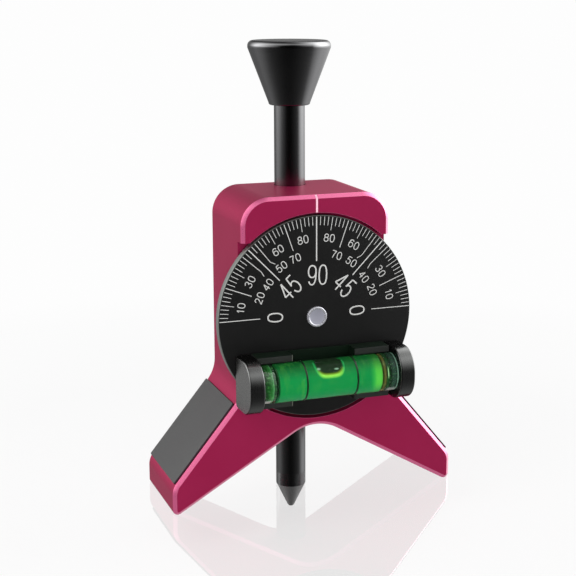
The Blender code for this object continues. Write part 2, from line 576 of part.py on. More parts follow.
def plunger_body(finish):
    # A screw body with a hexagon socket outside and a bore for the spring and nose inside
    lip = NOSE_RADIUS + FIT_GAP
    profile = [(lip, PLUNGER_INNER_END), (PLUNGER_RADIUS, PLUNGER_INNER_END),
               (PLUNGER_RADIUS, PLUNGER_OUTER_END), (0, PLUNGER_OUTER_END), (0, PLUNGER_BORE_END),
               (PLUNGER_BORE_RADIUS, PLUNGER_BORE_END),
               (PLUNGER_BORE_RADIUS, PLUNGER_INNER_END + PLUNGER_LIP), (lip, PLUNGER_INNER_END + PLUNGER_LIP)]
    place = (0, 0, PLUNGER_HEIGHT)
    plunger = turned("plunger_body", profile, SMALL_FACETS, "X", place, finish)
    corner_radius = HEX_ACROSS_FLATS / (2 * math.cos(math.pi / 6))
    cut(plunger, cylinder("hex_socket_cutter", corner_radius, PLUNGER_OUTER_END - HEX_DEPTH,
                          PLUNGER_OUTER_END + CUT_OVERRUN, 6, "X", place))
    return plunger


def plunger_nose(finish):
    dome_centre = (0, NOSE_TIP + NOSE_RADIUS)
    profile = arc(dome_centre, NOSE_RADIUS, -math.pi / 2, 0, 4)
    profile += [(NOSE_RADIUS, SHOULDER_PLACE), (NOSE_SHOULDER_RADIUS, SHOULDER_PLACE),
                (NOSE_SHOULDER_RADIUS, SHOULDER_PLACE + NOSE_SHOULDER), (0, SHOULDER_PLACE + NOSE_SHOULDER)]
    return turned("plunger_nose", profile, SMALL_FACETS, "X", (0, 0, PLUNGER_HEIGHT), finish)


def plunger_spring(finish):
    # One unbroken coil of round wire between the nose's shoulder and the end of the bore
    start = SHOULDER_PLACE + NOSE_SHOULDER + FIT_GAP + SPRING_WIRE_RADIUS
    end = PLUNGER_BORE_END - FIT_GAP - SPRING_WIRE_RADIUS
    count = SPRING_TURNS * SPRING_POINTS_PER_TURN
    curve = bpy.data.curves.new("plunger_spring", "CURVE")
    curve.dimensions = "3D"
    curve.bevel_depth = SPRING_WIRE_RADIUS
    curve.bevel_resolution = 1
    curve.use_fill_caps = True
    spline = curve.splines.new("POLY")
    spline.points.add(count)
    for index, point in enumerate(spline.points):
        angle = math.tau * index / SPRING_POINTS_PER_TURN
        point.co = (start + (end - start) * index / count, SPRING_COIL_RADIUS * math.cos(angle),
                    PLUNGER_HEIGHT + SPRING_COIL_RADIUS * math.sin(angle), 1)
    curve.materials.append(finish)
    spring = bpy.data.objects.new("plunger_spring", curve)
    bpy.context.scene.collection.objects.link(spring)
    pitch = (end - start) / SPRING_TURNS
    print("spring gap between turns:", pitch - 2 * SPRING_WIRE_RADIUS)
    return spring


def turn_about(name, place, pieces):
    # An empty on a joint's axis carries the pieces that move together
    carrier = bpy.data.objects.new(name, None)
    carrier.location = place
    bpy.context.scene.collection.objects.link(carrier)
    for piece in pieces:
        piece.parent = carrier
        piece.matrix_parent_inverse = Matrix.Translation(-Vector(place))


def main():
    for old in list(bpy.data.objects):
        bpy.data.objects.remove(old, do_unlink=True)
    crimson = material("crimson_anodised_aluminium", (0.30, 0.015, 0.065), 0.35, 0.9)
    black_metal = material("black_satin_metal", (0.012, 0.012, 0.013), 0.38, 0.6)
    black_dial = material("black_dial", (0.011, 0.011, 0.012), 0.5, 0.3)
    black_plastic = material("black_vial_holder", (0.016, 0.016, 0.017), 0.45, 0)
    grey_plate = material("grey_label_plate", (0.13, 0.13, 0.135), 0.55, 0.4)
    steel = material("bright_steel", (0.55, 0.55, 0.58), 0.28, 1)
    white_polymer = material("friction_polymer", (0.75, 0.75, 0.72), 0.5, 0)
    clear = material("clear_acrylic", (0.35, 0.75, 0.45), 0.08, 0)
    green = material("green_vial_liquid", (0.01, 0.38, 0.14), 0.1, 0)
    line_black = material("vial_ring_black", (0.01, 0.03, 0.015), 0.5, 0)
    y_body(crimson)
    label_plates(grey_plate)
    pivot_rivet(steel)
    friction_washer(white_polymer)
    wave_washer(steel)
    plunger_body(black_metal)
    plunger_nose(steel)
    plunger_spring(steel)
    dial_disc(black_dial)
    cradle_screws(steel)
    vial_cradle(black_plastic)
    vial_tube(clear)
    vial_fluid(green)
    vial_plugs(clear)
    vial_rings(line_black)
    end_caps(black_plastic)
    punch_rod(black_metal)
    striking_knob(black_metal)
    dial_pieces = [o for o in bpy.data.objects if o.name.startswith(("dial_disc", "cradle_screw_", "vial_",
                                                                     "end_cap_"))]
    turn_about("dial_axis", (0, DIAL_FACE, DIAL_HEIGHT), dial_pieces)
    turn_about("punch_axis", (0, 0, PUNCH_TIP), [bpy.data.objects["punch_rod"],
                                                 bpy.data.objects["striking_knob"]])
    print("dial centre", DIAL_HEIGHT, "arch top", ARCH_TOP, "body top", BODY_TOP, "punch tip", PUNCH_TIP)
    print("vial axis", VIAL_DEPTH, VIAL_HEIGHT, "knob bottom", KNOB_BOTTOM)


main()
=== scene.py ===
import math

import bmesh
import bpy
from mathutils import Matrix, Vector


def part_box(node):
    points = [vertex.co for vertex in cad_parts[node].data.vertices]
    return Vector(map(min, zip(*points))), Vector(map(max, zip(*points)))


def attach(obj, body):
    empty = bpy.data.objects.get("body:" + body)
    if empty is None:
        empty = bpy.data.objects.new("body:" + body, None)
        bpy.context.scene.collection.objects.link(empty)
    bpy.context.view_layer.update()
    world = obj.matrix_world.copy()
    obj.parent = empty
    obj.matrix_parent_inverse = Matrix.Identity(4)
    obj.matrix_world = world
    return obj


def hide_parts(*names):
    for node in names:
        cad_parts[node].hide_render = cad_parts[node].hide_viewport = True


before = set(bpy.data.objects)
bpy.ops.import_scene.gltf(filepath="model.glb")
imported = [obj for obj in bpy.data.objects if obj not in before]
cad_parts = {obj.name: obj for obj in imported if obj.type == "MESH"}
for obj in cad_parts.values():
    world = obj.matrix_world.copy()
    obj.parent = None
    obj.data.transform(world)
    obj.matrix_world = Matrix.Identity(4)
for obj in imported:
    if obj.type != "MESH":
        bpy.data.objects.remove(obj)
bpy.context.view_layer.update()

mm = 0.001

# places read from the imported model
bodyLow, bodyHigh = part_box("y_body")
dialLow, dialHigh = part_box("dial_disc")
tubeLow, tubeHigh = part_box("vial_tube")
capLow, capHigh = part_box("end_cap_right")
cradleLow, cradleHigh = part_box("vial_cradle")
rodLow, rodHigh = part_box("punch_rod")
knobLow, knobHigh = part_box("striking_knob")
rivetLow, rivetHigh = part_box("pivot_rivet")
ringLow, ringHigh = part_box("vial_ring_right")
liquidLow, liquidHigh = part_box("vial_fluid")
plugLow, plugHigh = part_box("vial_plug_right")
plungerLow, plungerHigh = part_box("plunger_body")

front = bodyLow.y
rear = bodyHigh.y
dialHeight = (dialLow.z + dialHigh.z) / 2
dialRadius = (dialHigh.x - dialLow.x) / 2
dialFace = dialLow.y
vialDepth = (tubeLow.y + tubeHigh.y) / 2
vialHeight = (tubeLow.z + tubeHigh.z) / 2
tubeRadius = (tubeHigh.z - tubeLow.z) / 2
rodRadius = rodHigh.y
dialMiddle = Vector((0, 0, dialHeight))
vialMiddle = Vector((0, vialDepth, vialHeight))


# small tools
weld = 0.0005 * mm     # points nearer than this are one point
touch = 0.01 * mm     # what is nearer to a plane than this lies on it
bevelFrom, smoothCut = math.radians(40), 30     # edges sharper than these are bevelled, or stay sharp after a cut
nearlyHalf = 0.499     # a corner takes at most this much of a side
grainSpan = (0.3, 0.7)     # a noise hardly leaves this span
grainDepth = 0.01 * mm
shaderLabels = {"metallic": "Metallic", "specular": "Specular IOR Level", "tint": "Specular Tint", "alpha": "Alpha",
                "coat": "Coat Weight", "coatRough": "Coat Roughness"}


def sized(lengths, **others):     # a piece's measures, with its lengths given in millimetres
    return {**{key: length * mm for key, length in lengths.items()}, **others}


def fill(tree, value, socket):     # a socket is linked, and anything else is set
    if isinstance(value, bpy.types.NodeSocket):
        tree.links.new(value, socket)
    else:
        socket.default_value = (*value, 1) if socket.type == "RGBA" else value


def addNode(tree, kind, *values, **settings):     # values fill the first sockets in their order
    node = tree.nodes.new(kind)
    for key, value in settings.items():
        if key in node.inputs:
            fill(tree, value, node.inputs[key])
        else:
            setattr(node, key, value)
    for value, socket in zip(values, node.inputs):
        fill(tree, value, socket)
    return node


def finishOf(name):
    finish = bpy.data.materials.new(name)
    finish.use_nodes = True
    tree = finish.node_tree
    return finish, tree, addNode(tree, "ShaderNodeTexCoord").outputs["Object"]


def noiseOf(tree, place, scale, detail, roughness=0.5):
    return addNode(tree, "ShaderNodeTexNoise", place, Scale=scale, Detail=detail, Roughness=roughness).outputs["Fac"]


def stretched(tree, place, scale):
    return addNode(tree, "ShaderNodeMapping", place, Scale=scale).outputs[0]


def remap(tree, value, fromLow, fromHigh, toLow=0, toHigh=1):
    return addNode(tree, "ShaderNodeMapRange", value, fromLow, fromHigh, toLow, toHigh).outputs["Result"]


def maths(tree, operation, *values):
    return addNode(tree, "ShaderNodeMath", *values, operation=operation).outputs[0]


def times(tree, first, *others):
    for other in others:
        first = maths(tree, "MULTIPLY", first, other)
    return first


def lengthOf(tree, vector):
    return addNode(tree, "ShaderNodeVectorMath", vector, operation="LENGTH").outputs["Value"]


def rampOf(tree, value, stops):
    node = addNode(tree, "ShaderNodeValToRGB", value)
    ramp = node.color_ramp
    while len(ramp.elements) < len(stops):
        ramp.elements.new(0.5)
    for element, (place, colour) in zip(ramp.elements, stops):
        element.position = place
        element.color = (*colour, 1)
    return node.outputs["Color"]


def mixColours(tree, share, first, second):
    node = addNode(tree, "ShaderNodeMix", share, data_type="RGBA")
    fill(tree, first, node.inputs[6])
    fill(tree, second, node.inputs[7])
    return node.outputs[2]


def mixNumbers(tree, share, first, second):
    node = addNode(tree, "ShaderNodeMix", share, data_type="FLOAT")
    fill(tree, first, node.inputs[2])
    fill(tree, second, node.inputs[3])
    return node.outputs[0]


def shade(red, green, blue):        # a screen colour, 0 to 255, as the linear colour that Blender takes
    return tuple((c / 255 / 12.92) if c / 255 <= 0.04045 else ((c / 255 + 0.055) / 1.055) ** 2.4
                 for c in (red, green, blue))


def shadeStops(*rows):     # (place, red, green, blue) rows
    return [(place, shade(*colour)) for place, *colour in rows]


def greyStops(*rows):     # (place, level) rows
    return [(place, (level,) * 3) for place, level in rows]


def linked(name, data):
    piece = bpy.data.objects.new(name, data)
    bpy.context.scene.collection.objects.link(piece)
    return piece


def smoothed(mesh, angle):
    mesh.shade_smooth()
    mesh.set_sharp_from_angle(angle=math.radians(angle))


def toPiece(name, builder, finish, smoothAngle=35):
    bmesh.ops.remove_doubles(builder, verts=builder.verts, dist=weld)
    bmesh.ops.recalc_face_normals(builder, faces=builder.faces)
    mesh = bpy.data.meshes.new(name)
    builder.to_mesh(mesh)
    builder.free()
    smoothed(mesh, smoothAngle)
    mesh.materials.append(finish)
    return linked(name, mesh)


def applyModifiers(piece):
    shown = bpy.context.evaluated_depsgraph_get()
    mesh = bpy.data.meshes.new_from_object(piece.evaluated_get(shown), depsgraph=shown)
    piece.modifiers.clear()
    piece.data = mesh
    return piece


def evenNormals(piece):
    smooth = piece.modifiers.new("evenNormals", "WEIGHTED_NORMAL")
    smooth.mode = "FACE_AREA"
    smooth.keep_sharp = True
    return applyModifiers(piece)


def cutAll(piece, others, kind="DIFFERENCE"):
    for other in others:
        step = piece.modifiers.new(other.name, "BOOLEAN")
        step.operation = kind
        step.solver = "EXACT"
        step.object = other
    applyModifiers(piece)
    for other in others:
        bpy.data.objects.remove(other, do_unlink=True)
    smoothed(piece.data, smoothCut)
    return piece


def paint(piece, *looks):     # (finish, test) pairs: a face takes the first finish whose test holds
    for finish, _ in looks:
        piece.data.materials.append(finish)
    for face in piece.data.polygons:
        for index, (_, test) in enumerate(looks, 1):
            if test(face.center, face.normal):
                face.material_index = index
                break
    return piece


def roundedOutline(corners, facets):     # corners are (across, up, radius)
    points = []
    for index, (across, up, radius) in enumerate(corners):
        here = Vector((across, up))
        back = Vector(corners[index - 1][:2]) - here
        ahead = Vector(corners[(index + 1) % len(corners)][:2]) - here
        if radius == 0:
            points.append(here)
            continue
        half = back.angle(ahead) / 2
        reach = min(radius / math.tan(half), nearlyHalf * back.length, nearlyHalf * ahead.length)
        radius = reach * math.tan(half)
        centre = here + (back.normalized() + ahead.normalized()).normalized() * radius / math.sin(half)
        start = here + back.normalized() * reach - centre
        turn = math.pi - 2 * half
        side = math.copysign(1, ahead.cross(back))
        count = max(2, math.ceil(facets * turn / math.tau))
        points += [centre + Matrix.Rotation(side * turn * step / count, 2) @ start for step in range(count + 1)]
    return points


def prism(outline, sweep):
    builder = bmesh.new()
    base = builder.faces.new([builder.verts.new(point) for point in outline])
    swept = bmesh.ops.extrude_face_region(builder, geom=[base])["geom"]
    bmesh.ops.translate(builder, verts=[v for v in swept if isinstance(v, bmesh.types.BMVert)], vec=sweep)
    bmesh.ops.recalc_face_normals(builder, faces=builder.faces)
    return builder


def bevel(builder, edges, offset, segments, clamped):
    bmesh.ops.bevel(builder, geom=edges, offset=offset, offset_type="OFFSET", segments=segments, profile=0.5,
                    affect="EDGES", clamp_overlap=clamped)


def extruded(name, outline, sweep, finish, edge=0, segments=2):
    builder = prism(outline, sweep)
    if edge:
        sharp = [e for e in builder.edges if e.calc_face_angle(0) > bevelFrom]
        bevel(builder, sharp, edge, segments, True)
    return toPiece(name, builder, finish)


def block(name, low, high, finish):
    (x, y, z), (farX, farY, farZ) = low, high
    outline = [(x, y, z), (farX, y, z), (farX, farY, z), (x, farY, z)]
    return extruded(name, outline, (0, 0, farZ - z), finish)


aims = {"Z": Matrix.Identity(4), "X": Matrix.Rotation(math.pi / 2, 4, "Y"), "Y": Matrix.Rotation(-math.pi / 2, 4, "X")}


def turned(name, profile, facets, finish, axis="Z", place=Vector((0, 0, 0)), smoothAngle=35):
    builder = bmesh.new()     # the profile's points are (radius, along)
    verts = [builder.verts.new((radius, 0, along)) for radius, along in profile]
    for index, vert in enumerate(verts):
        builder.edges.new((vert, verts[(index + 1) % len(verts)]))
    bmesh.ops.spin(builder, geom=builder.verts[:] + builder.edges[:], axis=(0, 0, 1), cent=(0, 0, 0),
                   angle=math.tau, steps=facets, use_merge=True, use_duplicate=False)
    bmesh.ops.remove_doubles(builder, verts=builder.verts, dist=weld)
    bmesh.ops.dissolve_degenerate(builder, edges=builder.edges, dist=weld)
    builder.transform(Matrix.Translation(place) @ aims[axis])
    return toPiece(name, builder, finish, smoothAngle)


def arcPoints(centre, radius, first, last, count):     # (radius, along) points, angles in degrees
    angles = [math.radians(first + (last - first) * step / count) for step in range(count + 1)]
    return [(centre[0] + radius * math.cos(a), centre[1] + radius * math.sin(a)) for a in angles]


def seat(piece, body, slot, *replaced):
    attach(piece, body)
    if replaced:
        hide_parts(*replaced)


# finishes
def dress(tree, colour, rough, grain=None, bump=0, **rest):     # rough is a number, or a span that the grain fills
    inputs = tree.nodes["Principled BSDF"].inputs
    fill(tree, colour, inputs["Base Color"])
    fill(tree, remap(tree, grain, *grainSpan, *rough) if grain else rough, inputs["Roughness"])
    for key, value in rest.items():
        fill(tree, value, inputs[shaderLabels[key]])
    if bump:
        node = addNode(tree, "ShaderNodeBump", Strength=bump, Distance=grainDepth, Height=grain)
        fill(tree, node.outputs["Normal"], inputs["Normal"])


# cloud and grain are the scale and detail of two noises: one mixes the colours, the other gives the roughness
def surface(name, colours, rough, cloud, grain=None, bump=0, evenly=False, brushed=None, **rest):
    finish, tree, place = finishOf(name)
    clouds = noiseOf(tree, place, *cloud)
    grains = grain and noiseOf(tree, stretched(tree, place, brushed) if brushed else place, *grain)
    share = mixNumbers(tree, 0.5, clouds, grains) if evenly else clouds
    dress(tree, mixColours(tree, share, *colours), rough, grains, bump, **rest)
    return finish


def anodisedCrimson(name, colours, rough, metallic, tint, seal):     # dyed, under a thin clear seal
    return surface(name, colours, rough, cloud=(60, 2), grain=(5200, 2), bump=0.06, metallic=metallic,
                   specular=0.3, tint=tint, coat=seal, coatRough=0.12)


def satinBlack(name, colour, rough, grazing=0.5, brushed=None):     # black anodised metal
    return surface(name, (colour, tuple(c * 1.16 for c in colour)), rough, cloud=(120, 2), grain=(3600, 2),
                   bump=0.03, evenly=True, brushed=brushed, metallic=1, tint=(grazing,) * 3)


def mouldedBlack(name, colour):     # matt moulded plastic
    return surface(name, (colour, tuple(c * 1.25 for c in colour)), (0.46, 0.58), cloud=(150, 2), grain=(3000, 3),
                   bump=0.08, evenly=True, specular=0.22)


def brightSteel(name, colour, rough, metallic):
    finish, tree, place = finishOf(name)
    dress(tree, colour, rough, noiseOf(tree, place, 3500, 3), 0.08, metallic=metallic)
    return finish


dialLook = {"face": (shade(18, 18, 18), shade(23, 23, 23)), "rim": shade(132, 136, 132),
            "rimSpan": (dialRadius - 0.16 * mm, dialRadius - 0.08 * mm)}


def dialFinish():     # black face, and a lighter turned edge round the rim
    finish, tree, place = finishOf("dialBlack")
    k = dialLook
    parts = addNode(tree, "ShaderNodeSeparateXYZ", place).outputs
    flat = addNode(tree, "ShaderNodeCombineXYZ", parts["X"], maths(tree, "SUBTRACT", parts["Z"], dialHeight))
    edge = remap(tree, lengthOf(tree, flat.outputs[0]), *k["rimSpan"])
    face = mixColours(tree, noiseOf(tree, place, 120, 2), *k["face"])
    dress(tree, mixColours(tree, edge, face, k["rim"]), (0.4, 0.5), noiseOf(tree, place, 4200, 2), 0.08,
          metallic=mixNumbers(tree, edge, 0.0, 0.7), specular=0.3)
    return finish


def vialParts(tree, place):     # x, y and z, and the height from the vial's foot (0) to its top (1)
    parts = addNode(tree, "ShaderNodeSeparateXYZ", place).outputs
    height = remap(tree, parts["Z"], vialHeight - tubeRadius, vialHeight + tubeRadius)
    return parts, height


# the liquid's colour is given along the tube and round it, with painted shade at its ends and towards its top, a
# painted bright band near its right end, and painted light towards its foot
liquidLook = {"along": shadeStops((0.0, 0, 52, 20), (0.008, 0, 52, 20), (0.016, 4, 126, 58), (0.875, 4, 126, 58),
                                  (0.912, 36, 158, 60), (0.94, 76, 180, 62), (0.98, 76, 180, 62), (0.997, 60, 112, 30)),
              "top": shade(2, 81, 28), "foot": shade(26, 122, 74), "mottle": shade(60, 146, 52),
              "mottleAlong": greyStops((0.0, 0), (0.1, 1), (0.22, 0.8), (0.3, 0.22), (0.7, 0.22), (0.8, 0.55),
                                       (1.0, 0.3))}


def vialLiquid():
    finish, tree, place = finishOf("vialLiquid")
    k = liquidLook
    parts, height = vialParts(tree, place)
    along = remap(tree, parts["X"], liquidLow.x, liquidHigh.x)
    # painted shade: darker towards the top; painted light: lighter towards the foot
    colour = mixColours(tree, remap(tree, height, 0.7, 0.97, 0, 0.85), rampOf(tree, along, k["along"]), k["top"])
    colour = mixColours(tree, remap(tree, height, 0.35, 0.05, 0, 0.85), colour, k["foot"])
    cloud = noiseOf(tree, stretched(tree, place, (1, 0.35, 0.35)), 700, 3, 0.6)
    amount = times(tree, remap(tree, cloud, 0.48, 0.72, 0, 0.8), rampOf(tree, along, k["mottleAlong"]))
    dress(tree, mixColours(tree, amount, colour, k["mottle"]), 0.25, specular=0.08, coat=0.05, coatRough=0.03)
    return finish


# a plug's colour along it, from the liquid outwards: painted shade, painted bright lines and painted reflections that
# stand for the look through clear plastic
plugLook = {"left": shadeStops((0.0, 6, 62, 26), (0.03, 10, 60, 26), (0.16, 14, 58, 26), (0.185, 26, 84, 42),
                               (0.205, 84, 160, 96), (0.235, 40, 120, 52), (0.3, 26, 104, 34), (0.38, 10, 78, 18),
                               (0.5, 6, 56, 14), (0.59, 10, 66, 20), (0.62, 40, 100, 50), (0.65, 20, 60, 28),
                               (0.67, 3, 10, 5), (1.0, 2, 8, 4)),
            "right": shadeStops((0.0, 24, 60, 14), (0.04, 40, 56, 20), (0.07, 92, 88, 38), (0.12, 70, 68, 28),
                                (0.16, 22, 40, 16), (0.2, 20, 62, 26), (0.28, 12, 46, 20), (0.34, 8, 24, 14),
                                (0.42, 34, 58, 46), (0.5, 38, 62, 52), (0.6, 20, 36, 28), (0.635, 130, 172, 150),
                                (0.655, 90, 130, 110), (0.67, 3, 10, 5), (1.0, 2, 8, 4)),
            "paintedGlints": shadeStops((0.42, 2, 14, 4), (0.54, 10, 50, 16), (0.62, 44, 126, 46), (0.7, 110, 184, 100)),
            "glintStreak": shade(150, 206, 140), "glintStreakAt": (0.225, 0.026), "glintStreakUp": (vialHeight + 1.1 * mm, 1.6 * mm),
            "foot": shade(158, 166, 160)}


def plugPlastic():     # a clear plug, painted with the holder's black and the liquid's green in turn, and with painted highlights
    finish, tree, place = finishOf("plugPlastic")
    k = plugLook
    parts, height = vialParts(tree, place)
    along = remap(tree, maths(tree, "ABSOLUTE", parts["X"]), liquidHigh.x, plugHigh.x)
    isRight = remap(tree, parts["X"], -mm, mm)
    base = mixColours(tree, isRight, rampOf(tree, along, k["left"]), rampOf(tree, along, k["right"]))
    # painted highlights: small bright glints scattered over the plug
    paintedGlints = rampOf(tree, noiseOf(tree, place, 1300, 3, 0.6), k["paintedGlints"])
    base = mixColours(tree, mixNumbers(tree, isRight, 0.3, 0.14), base, paintedGlints)

    def near(value, middle, reach):     # 1 at the middle, 0 at its reach on either side
        off = maths(tree, "ABSOLUTE", maths(tree, "SUBTRACT", value, middle))
        return remap(tree, off, reach, reach * 0.4)
    # a painted highlight: one bright streak on the right plug
    glintStreak = times(tree, near(along, *k["glintStreakAt"]), near(parts["Z"], *k["glintStreakUp"]), isRight)
    base = mixColours(tree, glintStreak, base, k["glintStreak"])
    # the pale floor shines up through its foot
    low = times(tree, remap(tree, height, 0.19, 0.13, 0, 0.85), remap(tree, along, 0.66, 0.62),
                remap(tree, along, 0.2, 0.3), mixNumbers(tree, isRight, 1.0, 0.6))
    dress(tree, mixColours(tree, low, base, k["foot"]), 0.12, specular=0.2, coat=0.1, coatRough=0.03)
    return finish


# two painted highlights inside the bubble: their places from the vial's middle, and half their sizes
bubbleLook = {"inside": shadeStops((0.0, 18, 38, 18), (0.6, 14, 34, 14), (0.8, 6, 30, 8), (0.86, 8, 96, 44),
                                   (0.93, 34, 170, 84), (1.0, 10, 136, 64)),
              "rim": shadeStops((0.0, 16, 36, 16), (0.62, 12, 34, 14), (0.74, 14, 36, 14), (0.79, 92, 120, 20),
                                (0.86, 146, 218, 76), (0.92, 110, 204, 76), (0.97, 30, 144, 60), (1.0, 8, 132, 60)),
              "ripple": shade(40, 80, 40), "glint": shade(140, 182, 150),
              "glints": (((-3.0 * mm, 0, vialHeight + 3.5 * mm), (0.62 * mm, 1, 0.3 * mm)),
                         ((1.6 * mm, 0, vialHeight + 3.2 * mm), (0.75 * mm, 1, 0.22 * mm)))}


def bubbleAir():     # painted shade: dark where the air shows the holder behind it; painted light: a bright lower rim
    finish, tree, place = finishOf("bubbleLook")
    k = bubbleLook
    edge, low = (addNode(tree, "ShaderNodeAttribute", attribute_name=label).outputs["Fac"]
                 for label in ("edge", "lowness"))
    inside, rim = (rampOf(tree, edge, k[label]) for label in ("inside", "rim"))
    colour = mixColours(tree, remap(tree, low, 0.35, 0.8), inside, rim)
    ripple = remap(tree, noiseOf(tree, place, 1500, 2), 0.4, 0.7, 0, 0.15)
    colour = mixColours(tree, ripple, colour, k["ripple"])
    for middle, reach in k["glints"]:
        spot = addNode(tree, "ShaderNodeMapping", place, vector_type="TEXTURE", Location=middle, Scale=reach)
        share = remap(tree, lengthOf(tree, spot.outputs[0]), 1.0, 0.4, 0, 0.9)
        colour = mixColours(tree, share, colour, k["glint"])
    dress(tree, colour, 0.15, specular=0.1)
    return finish


crimson = anodisedCrimson("anodisedCrimson", (shade(166, 34, 79), shade(175, 43, 88)), (0.34, 0.44), 0.5,
                          (0.8, 0.3, 0.42), 0.07)
# the machined chamfers are smoother than the faces; their lighter colour is partly bare machined metal and partly a
# painted highlight
crimsonEdgeHighlight = anodisedCrimson("machinedEdgeHighlight", (shade(234, 106, 154), shade(240, 114, 162)), (0.27, 0.31), 0.6,
                              (1, 0.75, 0.8), 1)
knobBlack = satinBlack("knobBlack", shade(113, 113, 114), (0.14, 0.22), 0.6, (0.05, 0.05, 1))
# a lighter copy of the knob's finish on its rim, a painted highlight; a darker copy on its top, painted shade
knobRimHighlight = satinBlack("knobRimHighlight", shade(134, 134, 135), (0.09, 0.14), 0.6)
knobTopShade = satinBlack("knobTopShade", shade(92, 92, 93), (0.16, 0.24), 0.4)
rodBlack = satinBlack("rodBlack", shade(113, 113, 114), (0.18, 0.24), 0.52)
pointGrey = satinBlack("pointGrey", shade(184, 184, 184), (0.26, 0.34))
capBlack = satinBlack("capBlack", shade(112, 113, 112), (0.2, 0.3), 0.5, (1, 0.05, 0.05))
# a lighter copy of the cap's finish, painted light, for the left cap's outer face only
capEndHighlight = satinBlack("capEndHighlight", shade(150, 150, 149), (0.24, 0.32), 0.6)
dialBlack = dialFinish()
holderBlack = mouldedBlack("holderBlack", shade(36, 38, 36))
washerPolymer = mouldedBlack("washerPolymer", shade(196, 190, 170))
# painted shade: darker green-black inside the holder's window; painted highlight: grey on the window's left corner
windowShadeBlack = mouldedBlack("windowShadeBlack", shade(10, 22, 13))
cornerHighlightGrey = mouldedBlack("cornerHighlightGrey", shade(96, 98, 90))
marks = surface("printedMarks", (shade(184, 184, 182), shade(198, 198, 196)), 0.55, cloud=(3000, 3))
plateGrey = surface("greyPlate", (shade(92, 92, 92), shade(98, 98, 98)), (0.55, 0.68), cloud=(90, 3),
                    grain=(2600, 3), bump=0.1, specular=0.12)
# painted shadow: the plates' edge walls are dark, for the gap round each plate
plateEdgeShade = mouldedBlack("plateEdgeShade", shade(52, 34, 42))
steel = brightSteel("brightSteel", (0.82, 0.82, 0.86), (0.14, 0.2), 0.95)
rimSteel = brightSteel("rimSteel", (0.78, 0.78, 0.84), (0.22, 0.3), 0.72)
dishSteel = brightSteel("dishSteel", (0.43, 0.43, 0.51), (0.3, 0.42), 0.5)
line = surface("paleLine", (shade(236, 176, 200), shade(246, 200, 216)), 0.4, cloud=(3000, 2))
ringBlack = surface("ringBlack", (shade(4, 22, 10), shade(8, 32, 14)), 0.35, cloud=(2400, 2))
liquidGreen = vialLiquid()
acrylic = surface("clearAcrylic", ((0.55, 0.8, 0.62), (0.7, 0.9, 0.75)), 0.04, cloud=(300, 2), alpha=0.004)
plugGreen = plugPlastic()
bubbleFinish = bubbleAir()
print("finishes made")


# the body
bodyShape = sized(dict(halfWidth=19.4, crownCorner=7.1, chamfer=0.9, edgeRound=0.09, rearRound=0.3, neckHeight=8.2,
                       neckRadius=9.2, legEndRadius=5.0, footRadius=1.3, archRadius=11.4, pocketGap=0.7,
                       pocketDepth=3.35, hornTrim=2.1, boreGap=0.3, guideGap=0.1, plungerGap=0.3, seatRadius=5.9,
                       seatDepth=1.6, holeRadius=1.8, holeDepth=9.0, over=2),
                  legSlope=math.radians(50.6), saddleSlope=math.radians(30.2), facets=200, pocketFacets=256,
                  boreFacets=96, plungerFacets=64)
plateShape = sized(dict(topMargin=3.2, endMargin=1.2, thick=0.7, proud=0.48, frontMargin=0.4, rearMargin=0.2,
                        corner=0.4, seam=0.12, edge=0.06), facets=32)
indexShape = sized(dict(width=0.5, sunk=0.15, proud=0.012, short=0.05))
sides = ((-1, "left"), (1, "right"))
legEnd = bodyShape["neckHeight"] - math.tan(bodyShape["legSlope"]) * (bodyHigh.x - bodyShape["halfWidth"])


def bodyOutline():
    s = bodyShape
    span = bodyHigh.x
    right = [(span, -math.tan(s["saddleSlope"]) * span, s["footRadius"]), (span, legEnd, s["legEndRadius"]),
             (s["halfWidth"], s["neckHeight"], s["neckRadius"]), (s["halfWidth"], bodyHigh.z, s["crownCorner"])]
    left = [(-x, z, r) for x, z, r in reversed(right)]
    return roundedOutline([(0, 0, s["archRadius"])] + right + left, s["facets"])


def outOfLeg(side):
    return Vector((side * math.sin(bodyShape["legSlope"]), 0, math.cos(bodyShape["legSlope"])))


def plateSlab(side, grow, rearGrow, low, high, name, finish, edge=0):
    s, p = bodyShape, plateShape
    run = Vector((side * math.cos(s["legSlope"]), 0, -math.sin(s["legSlope"])))
    top = Vector((side * s["halfWidth"], 0, s["neckHeight"]))
    slope = (Vector((side * bodyHigh.x, 0, legEnd)) - top).length
    first, last = p["topMargin"] - grow, slope - p["endMargin"] + grow
    near = front + s["chamfer"] + p["frontMargin"] - grow
    far = rear - p["rearMargin"] + rearGrow
    corner = p["corner"] + grow
    corners = [(first, near, corner), (last, near, corner), (last, far, corner), (first, far, corner)]
    outline = [top + run * q.x + Vector((0, q.y, 0)) + outOfLeg(side) * low
               for q in roundedOutline(corners, p["facets"])]
    return extruded(name, outline, outOfLeg(side) * (high - low), finish, edge)


